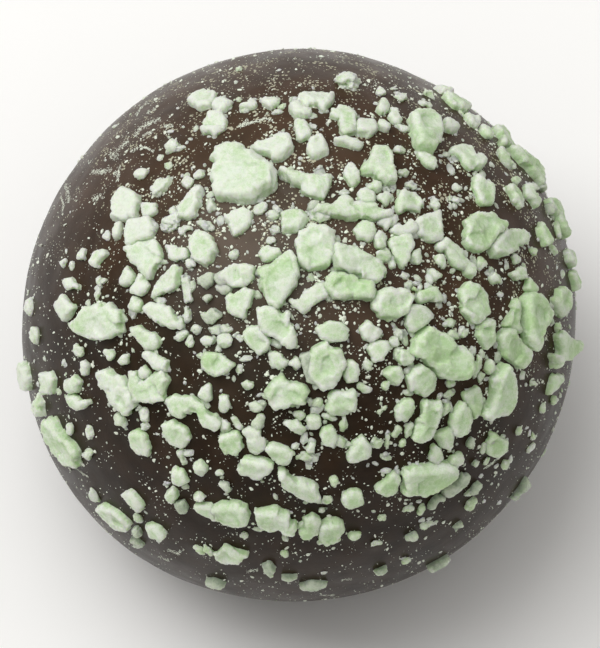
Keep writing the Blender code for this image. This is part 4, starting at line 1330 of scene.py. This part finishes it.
def make_small_chips(settings, mint):
    """One joined piece for each kind of small chip, laid on the coat by place and turn."""
    tree = coat_tree()
    coarse, fine = (sphere_directions(level) for level in SPHERE_LEVELS)
    chips = [
        (chip.kind, outward_of(chip.right, chip.up, chip.width / 3), chip.length, chip.width, chip.turn)
        for chip in SMALL_CHIPS
    ]
    chips += far_chips(settings)
    for kind_name, kind in KINDS.items():
        heap = Heap()
        for number, (chip_kind, outward, length, width, turn) in enumerate(chips):
            if chip_kind != kind_name:
                continue
            rng = np.random.default_rng(number)
            height = width * rng.uniform(0.5, 0.8)
            directions, faces = fine if length > FINE_LENGTH else coarse
            points = lump(directions, kind, rng) * np.array((length, width, height)) / 2
            # Painted light by the chip's place: paler at upper left, greener at lower right
            worn = painted_light_paling(BALL_RADIUS * outward.dot(RIGHT), BALL_RADIUS * outward.dot(UP))
            points, frost = broken(points, faces, SMALL_FACETS, SMALL_NOTCHES, rng, settings, worn)
            points[:, 2] += height * (0.5 - settings.small_sink)
            spot, axes = landing(tree, outward, turn)
            heap.add(spot + points @ axes, faces, frost)
        heap.piece(f"small_{kind_name}s", mint)


# ----------------------------------------------------------------------------------------------------
# Crumbs, grit and dust by Geometry Nodes
# ----------------------------------------------------------------------------------------------------


def crumb_shapes(name, level, count, ragged):
    """A collection of small broken shapes 1 metre across, for scattering at a scale."""
    collection = bpy.data.collections.new(name)
    directions, faces = sphere_directions(level)
    for number in range(count):
        rng = np.random.default_rng(number)
        kind = Kind(int(rng.integers(4, 7)), rng.uniform(1.5, 3.0), ragged, rng.uniform(0.2, 0.8))
        points = lump(directions, kind, rng, sharpness=22)
        points = points * np.array((0.5, rng.uniform(0.24, 0.46), rng.uniform(0.16, 0.32)))
        mesh = bpy.data.meshes.new(f"{name}_{number:02d}")
        mesh.from_pydata(points.tolist(), [], faces.tolist())
        mesh.shade_flat()
        frost = mesh.attributes.new("frost", "FLOAT", "POINT")
        frost.data.foreach_set("value", np.full(len(points), rng.uniform(0.2, 0.8), np.float32))
        collection.objects.link(bpy.data.objects.new(mesh.name, mesh))
    return collection


def remove_collection(collection):
    for obj in list(collection.objects):
        mesh = obj.data
        bpy.data.objects.remove(obj)
        bpy.data.meshes.remove(mesh)
    bpy.data.collections.remove(collection)


def random_value(tree, low, high, seed):
    """A Random Value node's output between two numbers, or between two vectors."""
    vector = isinstance(low, tuple)
    node = add_node(tree, "FunctionNodeRandomValue", data_type="FLOAT_VECTOR" if vector else "FLOAT")
    first = 0 if vector else 2
    node.inputs[first].default_value = low
    node.inputs[first + 1].default_value = high
    node.inputs["Seed"].default_value = seed
    return node.outputs[0 if vector else 1]


def scatter_tree(name):
    """Shapes laid on a surface as thickly as a named attribute says, mostly small, each turned its way."""
    tree = bpy.data.node_groups.new(name, "GeometryNodeTree")
    face = tree.interface
    face.new_socket("Geometry", in_out="INPUT", socket_type="NodeSocketGeometry")
    for label, kind in (
        ("Shapes", "NodeSocketCollection"),
        ("Attribute", "NodeSocketString"),
        ("Density", "NodeSocketFloat"),
        ("Smallest", "NodeSocketFloat"),
        ("Largest", "NodeSocketFloat"),
        ("Rarity", "NodeSocketFloat"),
        ("Tilt", "NodeSocketFloat"),
        ("Seed", "NodeSocketInt"),
        ("Material", "NodeSocketMaterial"),
    ):
        face.new_socket(label, in_out="INPUT", socket_type=kind)
    face.new_socket("Geometry", in_out="OUTPUT", socket_type="NodeSocketGeometry")
    link = tree.links.new
    given = add_node(tree, "NodeGroupInput").outputs
    thickness = add_node(tree, "GeometryNodeInputNamedAttribute", data_type="FLOAT")
    link(given["Attribute"], thickness.inputs["Name"])
    density = add_node(tree, "ShaderNodeMath", operation="MULTIPLY")
    link(thickness.outputs["Attribute"], density.inputs[0])
    link(given["Density"], density.inputs[1])
    points = add_node(tree, "GeometryNodeDistributePointsOnFaces")
    link(given["Geometry"], points.inputs["Mesh"])
    link(density.outputs[0], points.inputs["Density"])
    link(given["Seed"], points.inputs["Seed"])
    shapes = add_node(tree, "GeometryNodeCollectionInfo")
    shapes.inputs["Separate Children"].default_value = True
    link(given["Shapes"], shapes.inputs["Collection"])
    power = add_node(tree, "ShaderNodeMath", operation="POWER")
    link(random_value(tree, 0.0, 1.0, 1), power.inputs[0])
    link(given["Rarity"], power.inputs[1])
    size = add_node(tree, "ShaderNodeMapRange")
    link(power.outputs[0], size.inputs["Value"])
    link(given["Smallest"], size.inputs["To Min"])
    link(given["Largest"], size.inputs["To Max"])
    laid = add_node(tree, "GeometryNodeInstanceOnPoints")
    laid.inputs["Pick Instance"].default_value = True
    link(points.outputs["Points"], laid.inputs["Points"])
    link(points.outputs["Rotation"], laid.inputs["Rotation"])
    link(shapes.outputs["Instances"], laid.inputs["Instance"])
    link(size.outputs["Result"], laid.inputs["Scale"])
    spin = add_node(tree, "GeometryNodeRotateInstances")
    link(laid.outputs["Instances"], spin.inputs["Instances"])
    link(random_value(tree, (0.0, 0.0, 0.0), (0.0, 0.0, math.tau), 2), spin.inputs["Rotation"])
    lean = add_node(tree, "GeometryNodeRotateInstances")
    turned = add_node(tree, "ShaderNodeVectorMath", operation="SCALE")
    link(random_value(tree, (-1.0, -1.0, 0.0), (1.0, 1.0, 0.0), 3), turned.inputs[0])
    link(given["Tilt"], turned.inputs["Scale"])
    link(spin.outputs["Instances"], lean.inputs["Instances"])
    link(turned.outputs[0], lean.inputs["Rotation"])
    stretch = add_node(tree, "GeometryNodeScaleInstances")
    link(lean.outputs["Instances"], stretch.inputs["Instances"])
    link(random_value(tree, (0.8, 0.7, 0.7), (1.1, 1.1, 1.2), 4), stretch.inputs["Scale"])
    whole = add_node(tree, "GeometryNodeRealizeInstances")
    link(stretch.outputs["Instances"], whole.inputs["Geometry"])
    painted = add_node(tree, "GeometryNodeSetMaterial")
    link(whole.outputs["Geometry"], painted.inputs["Geometry"])
    link(given["Material"], painted.inputs["Material"])
    link(painted.outputs["Geometry"], add_node(tree, "NodeGroupOutput").inputs["Geometry"])
    return tree


def scattered(name, tree, values, material):
    """What the tree lays on the coat, as a plain mesh of its own."""
    coat = bpy.data.objects["chocolate_coat"]
    carrier = bpy.data.objects.new(name, coat.data.copy())
    bpy.context.scene.collection.objects.link(carrier)
    modifier = carrier.modifiers.new("Scatter", "NODES")
    modifier.node_group = tree
    sockets = {item.name: item.identifier for item in tree.interface.items_tree if item.in_out == "INPUT"}
    for label, value in values.items():
        modifier[sockets[label]] = value
    modifier[sockets["Material"]] = material
    graph = bpy.context.evaluated_depsgraph_get()
    mesh = bpy.data.meshes.new_from_object(carrier.evaluated_get(graph))
    carrier.modifiers.remove(modifier)
    old = carrier.data
    carrier.data = mesh
    bpy.data.meshes.remove(old)
    mesh.name = name
    set_material(carrier, material)
    ride_and_name(carrier, MINT_SLOT)


def make_scatter(name, shapes, attribute, settings, material):
    """One scattering, from a settings group that gives its density, sizes, rarity, tilt and seed."""
    tree = scatter_tree(f"{name}_scatter")
    values = {
        "Shapes": shapes,
        "Attribute": attribute,
        "Density": settings.density / MM**2,
        "Smallest": settings.smallest * MM,
        "Largest": settings.largest * MM,
        "Rarity": settings.rarity,
        "Tilt": settings.tilt,
        "Seed": settings.seed,
    }
    scattered(name, tree, values, material)
    remove_collection(shapes)
    bpy.data.node_groups.remove(tree)


def make_scuffs(dust):
    """Pale rubbed marks: the finest flecks of dust strewn along short strokes."""
    tree = coat_tree()
    directions, fleck_faces = sphere_directions(0)
    all_points, all_faces = [], []
    count = 0
    rng = random.Random(SCUFF_SEED)
    plain, wider = SCUFF_FLECKS
    for width, *numbers in SCUFFS:
        stroke = np.array(numbers).reshape(-1, 2)
        for start, end in zip(stroke[:-1], stroke[1:]):
            length = np.linalg.norm(end - start)
            along = (end - start) / length
            heading = math.degrees(math.atan2(along[1], along[0]))
            beside = np.array((-along[1], along[0]))
            for _ in range(int(length * (plain + wider * width))):
                across = rng.gauss(0, width / 2.2)
                x, y = start + along * rng.uniform(-0.06, length + 0.06) + beside * across
                if math.hypot(x, y) > BALL_RADIUS - RIM_GAP:
                    continue
                size = rng.uniform(*FLECK_SIZES)
                spot, axes = landing(tree, outward_of(x, y), heading + rng.gauss(0, 25))
                points = directions * np.array((size * rng.uniform(1, 1.8), size * 0.8, size * 0.4)) / 2
                all_points.append(spot + points @ axes)
                all_faces += [tuple(int(index) + count for index in face) for face in fleck_faces]
                count += len(directions)
    piece = mesh_from_arrays("rubbed_marks", np.vstack(all_points), all_faces)
    set_material(piece, dust)
    ride_and_name(piece, MINT_SLOT)


# ----------------------------------------------------------------------------------------------------
# The stage
# ----------------------------------------------------------------------------------------------------


def add_softbox(name, direction, distance, size, radiance):
    """An area light of this size and radiance, looking at the ball's middle from this way and distance."""
    light = bpy.data.lights.new(name, "AREA")
    light.shape = "RECTANGLE"
    light.size, light.size_y = size
    light.energy = radiance * math.pi * size[0] * size[1]
    obj = bpy.data.objects.new(name, light)
    towards = Vector(direction).normalized()
    obj.location = BALL_MIDDLE * MM + towards * distance
    obj.rotation_euler = towards.to_track_quat("Z", "Y").to_euler()
    bpy.context.scene.collection.objects.link(obj)


def make_floor(settings):
    shape = bmesh.new()
    bmesh.ops.create_circle(shape, cap_ends=True, segments=64, radius=settings.floor_radius)
    mesh = bpy.data.meshes.new("floor")
    shape.to_mesh(mesh)
    shape.free()
    floor = bpy.data.objects.new("floor", mesh)
    bpy.context.scene.collection.objects.link(floor)
    material, _, shader = new_material("pale_floor")
    shader.inputs["Base Color"].default_value = opaque(settings.floor_colour)
    shader.inputs["Roughness"].default_value = 0.9
    shader.inputs["Specular IOR Level"].default_value = 0.1
    set_material(floor, material)


def make_lights(settings):
    """An even, slightly warm sky, a key softbox at the upper left and a wide panel overhead."""
    world = bpy.data.worlds.new("soft_sky")
    world.use_nodes = True
    background = world.node_tree.nodes["Background"]
    background.inputs["Color"].default_value = (1, 0.96, 0.9, 1)
    background.inputs["Strength"].default_value = settings.sky_strength
    bpy.context.scene.world = world
    key = {"direction": (-0.42, 0.12, 0.9), "distance": 0.5, "size": (0.3, 0.5)}
    panel = {"direction": (0, 0, 1), "distance": 0.6, "size": (1.1, 1.1)}
    add_softbox("key_softbox", radiance=settings.key_radiance, **key)
    add_softbox("overhead_panel", radiance=settings.panel_radiance, **panel)


def make_camera(settings):
    """A camera in front, tilted down at the ball's middle, and plain display of its colours."""
    scene = bpy.context.scene
    camera_data = bpy.data.cameras.new("front_camera")
    camera_data.sensor_fit = "HORIZONTAL"
    camera_data.sensor_width = 36
    camera_data.lens = camera_data.sensor_width * settings.camera_distance / settings.view_width
    camera_data.clip_start = 0.01
    camera_data.clip_end = 10
    camera = bpy.data.objects.new("front_camera", camera_data)
    camera.location = BALL_MIDDLE * MM + TOWARDS * settings.camera_distance
    camera.rotation_euler = (VIEW_TILT, 0, 0)
    scene.collection.objects.link(camera)
    scene.camera = camera
    scene.view_settings.view_transform = "Standard"


def make_stage(settings):
    make_floor(settings)
    make_lights(settings)
    make_camera(settings)


# ----------------------------------------------------------------------------------------------------
# Settings, operators and panel
# ----------------------------------------------------------------------------------------------------


def colour_property(name, description, default):
    return bpy.props.FloatVectorProperty(
        name=name, description=description, default=default, subtype="COLOR", size=3, min=0, max=1
    )


def number_property(name, description, default, **kind):
    return bpy.props.FloatProperty(name=name, description=description, default=default, **kind)


def whole_property(name, description, default):
    return bpy.props.IntProperty(name=name, description=description, default=default)


class TruffleCoatSettings(bpy.types.PropertyGroup):
    """Sizes and colours of the chocolate coat."""

    rings: whole_property("Rings", "Rings of points from crown to foot", 150)
    columns: whole_property("Columns", "Points round each ring", 300)
    dark_colour: colour_property("Dark", "Chocolate in its darker clouds", (0.014, 0.008, 0.004))
    warm_colour: colour_property("Warm", "Chocolate in its warmer clouds", (0.034, 0.018, 0.009))
    # The bloom colour also paints sheen on the upper side of the coat
    bloom_and_sheen_colour: colour_property("Bloom", "Chocolate paled by fat bloom", (0.105, 0.060, 0.038))
    # The powder colour also paints the sheen patch at upper left
    powder_and_sheen_colour: colour_property("Powder", "Powder lying on the coat", (0.70, 0.70, 0.52))


class TruffleMintSettings(bpy.types.PropertyGroup):
    """Sizes and colours of the crushed mint."""

    voxel: number_property("Skin cell", "Cell size of a chip's skin in mm", 0.062)
    skin_depth: number_property("Skin depth", "Depth of the crumbly skin in mm", 0.030)
    small_sink: number_property("Small sink", "Share of a small chip sunk", 0.2)
    break_colour: colour_property("Break", "Green of a clean break", (0.56, 0.745, 0.43))
    deep_colour: colour_property("Deep", "Deeper green of a thick clear part", (0.47, 0.66, 0.33))
    # The frost colour is also the colour of painted light on lit tops and on chips at upper left
    frost_and_light_colour: colour_property("Frost", "Worn edges and settled powder", (0.82, 0.885, 0.76))
    dust_colour: colour_property("Dust", "Greyer dust", (0.70, 0.72, 0.62))
    husk_colour: colour_property("Husk", "Half-clear lumps, greyed", (0.42, 0.50, 0.37))
    husk_deep_colour: colour_property("Husk deep", "Their thicker parts", (0.30, 0.37, 0.26))
    # The husk frost colour also paints light on their lit tops
    husk_frost_and_light_colour: colour_property("Husk frost", "Powder on them", (0.64, 0.70, 0.57))
    thickness: number_property("Thickness", "A chip's height for its size", 0.32)
    far_spiral: whole_property("Far spiral", "Places tried all round the ball", 150)
    far_seed: whole_property("Far seed", "Another number lays the far side another way", 4)


class TruffleScatterSettings(bpy.types.PropertyGroup):
    """How one size of crushed mint is scattered. The defaults are the grit's, and SCATTERS sets each size."""

    density: number_property("Density", "Pieces on each square mm at the thickest", 12.0)
    smallest: number_property("Smallest", "Smallest length in mm", 0.12)
    largest: number_property("Largest", "Largest length in mm", 0.36)
    rarity: number_property("Rarity", "How rare the large ones are", 2.0)
    tilt: number_property("Tilt", "How far a piece leans", 0.8, subtype="ANGLE")
    seed: whole_property("Seed", "Another number scatters them another way", 23)


class TruffleStageSettings(bpy.types.PropertyGroup):
    """Floor, light and camera."""

    floor_radius: number_property("Floor radius", "Floor's radius", 1.5, unit="LENGTH")
    floor_colour: colour_property("Floor", "Floor's colour", (0.94, 0.935, 0.92))
    sky_strength: number_property("Sky", "Strength of the even light", 0.18)
    key_radiance: number_property("Key", "Brightness of the key softbox", 3.8)
    panel_radiance: number_property("Panel", "Brightness of the overhead panel", 0.74)
    camera_distance: number_property("Camera distance", "From the ball's middle", 0.5, unit="LENGTH")
    view_width: number_property("View width", "Width seen at the ball's middle", 0.0326, unit="LENGTH")


class TRUFFLE_OT_coat(bpy.types.Operator):
    """Makes the chocolate coat"""

    bl_idname = "truffle.make_coat"
    bl_label = "Make Coat"

    def execute(self, context):
        make_coat(context.scene.truffle_coat)
        return {"FINISHED"}


class TRUFFLE_OT_large_chips(bpy.types.Operator):
    """Breaks the large chips out of their solids"""

    bl_idname = "truffle.make_large_chips"
    bl_label = "Make Large Chips"

    def execute(self, context):
        settings = context.scene.truffle_mint
        mint = mint_material(settings, "broken_mint", green_share=1.0)
        make_large_chips(settings, mint)
        husk = mint_material(settings, "dusty_mint_husk", green_share=1.0, greyed=True)
        make_middling(settings, mint, husk)
        return {"FINISHED"}


class TRUFFLE_OT_small_chips(bpy.types.Operator):
    """Lays the small chips on the coat"""

    bl_idname = "truffle.make_small_chips"
    bl_label = "Make Small Chips"

    def execute(self, context):
        settings = context.scene.truffle_mint
        make_small_chips(settings, mint_material(settings, "chipped_mint", green_share=0.6))
        return {"FINISHED"}


class TRUFFLE_OT_crumbs(bpy.types.Operator):
    """Scatters the crumbs, by Geometry Nodes"""

    bl_idname = "truffle.make_crumbs"
    bl_label = "Make Crumbs"

    def execute(self, context):
        material = mint_material(context.scene.truffle_mint, "crumbled_mint", green_share=0.4)
        shapes = crumb_shapes("crumb", level=2, count=12, ragged=0.3)
        make_scatter("mint_crumbs", shapes, "crumbs", context.scene.truffle_crumbs, material)
        return {"FINISHED"}


class TRUFFLE_OT_grit(bpy.types.Operator):
    """Scatters the grit, by Geometry Nodes"""

    bl_idname = "truffle.make_grit"
    bl_label = "Make Grit"

    def execute(self, context):
        material = dust_material(context.scene.truffle_mint)
        shapes = crumb_shapes("grit", level=1, count=10, ragged=0.3)
        make_scatter("mint_grit", shapes, "grit", context.scene.truffle_grit, material)
        return {"FINISHED"}


class TRUFFLE_OT_dust(bpy.types.Operator):
    """Scatters the dust by Geometry Nodes, and rubs the pale marks"""

    bl_idname = "truffle.make_dust"
    bl_label = "Make Dust"

    def execute(self, context):
        material = dust_material(context.scene.truffle_mint)
        shapes = crumb_shapes("dust", level=0, count=6, ragged=0.0)
        make_scatter("mint_dust", shapes, "dust", context.scene.truffle_dust, material)
        make_scuffs(material)
        return {"FINISHED"}


class TRUFFLE_OT_stage(bpy.types.Operator):
    """Sets out the floor, the light and the camera"""

    bl_idname = "truffle.make_stage"
    bl_label = "Make Stage"

    def execute(self, context):
        make_stage(context.scene.truffle_stage)
        return {"FINISHED"}


OPERATORS = (
    TRUFFLE_OT_coat,
    TRUFFLE_OT_large_chips,
    TRUFFLE_OT_small_chips,
    TRUFFLE_OT_crumbs,
    TRUFFLE_OT_grit,
    TRUFFLE_OT_dust,
    TRUFFLE_OT_stage,
)


class TRUFFLE_PT_panel(bpy.types.Panel):
    """Buttons that make the truffle, piece by piece"""

    bl_idname = "TRUFFLE_PT_panel"
    bl_label = "Chocolate Truffle"
    bl_space_type = "VIEW_3D"
    bl_region_type = "UI"
    bl_category = "Truffle"

    def draw(self, context):
        for operator in OPERATORS:
            self.layout.operator(operator.bl_idname)
        for settings in SCENE_GROUPS:
            group = getattr(context.scene, settings)
            for name in group.bl_rna.properties.keys()[2:]:  # past rna_type and name, which every group has
                self.layout.prop(group, name)


SETTINGS = (TruffleCoatSettings, TruffleMintSettings, TruffleScatterSettings, TruffleStageSettings)
CLASSES = SETTINGS + OPERATORS + (TRUFFLE_PT_panel,)
SCENE_GROUPS = {
    "truffle_coat": TruffleCoatSettings,
    "truffle_mint": TruffleMintSettings,
    "truffle_crumbs": TruffleScatterSettings,
    "truffle_grit": TruffleScatterSettings,
    "truffle_dust": TruffleScatterSettings,
    "truffle_stage": TruffleStageSettings,
}


def register():
    for cls in CLASSES:
        bpy.utils.register_class(cls)
    for name, group in SCENE_GROUPS.items():
        setattr(bpy.types.Scene, name, bpy.props.PointerProperty(type=group))


def unregister():
    for name in SCENE_GROUPS:
        delattr(bpy.types.Scene, name)
    for cls in reversed(CLASSES):
        bpy.utils.unregister_class(cls)


def main():
    register()
    for name, scatter in SCATTERS.items():
        group = getattr(bpy.context.scene, f"truffle_{name}")
        for field, value in scatter._asdict().items():
            setattr(group, field, value)
    bpy.ops.truffle.make_coat()
    bpy.ops.truffle.make_large_chips()
    bpy.ops.truffle.make_small_chips()
    bpy.ops.truffle.make_crumbs()
    bpy.ops.truffle.make_grit()
    bpy.ops.truffle.make_dust()
    bpy.ops.truffle.make_stage()


if __name__ == "__main__":
    main()
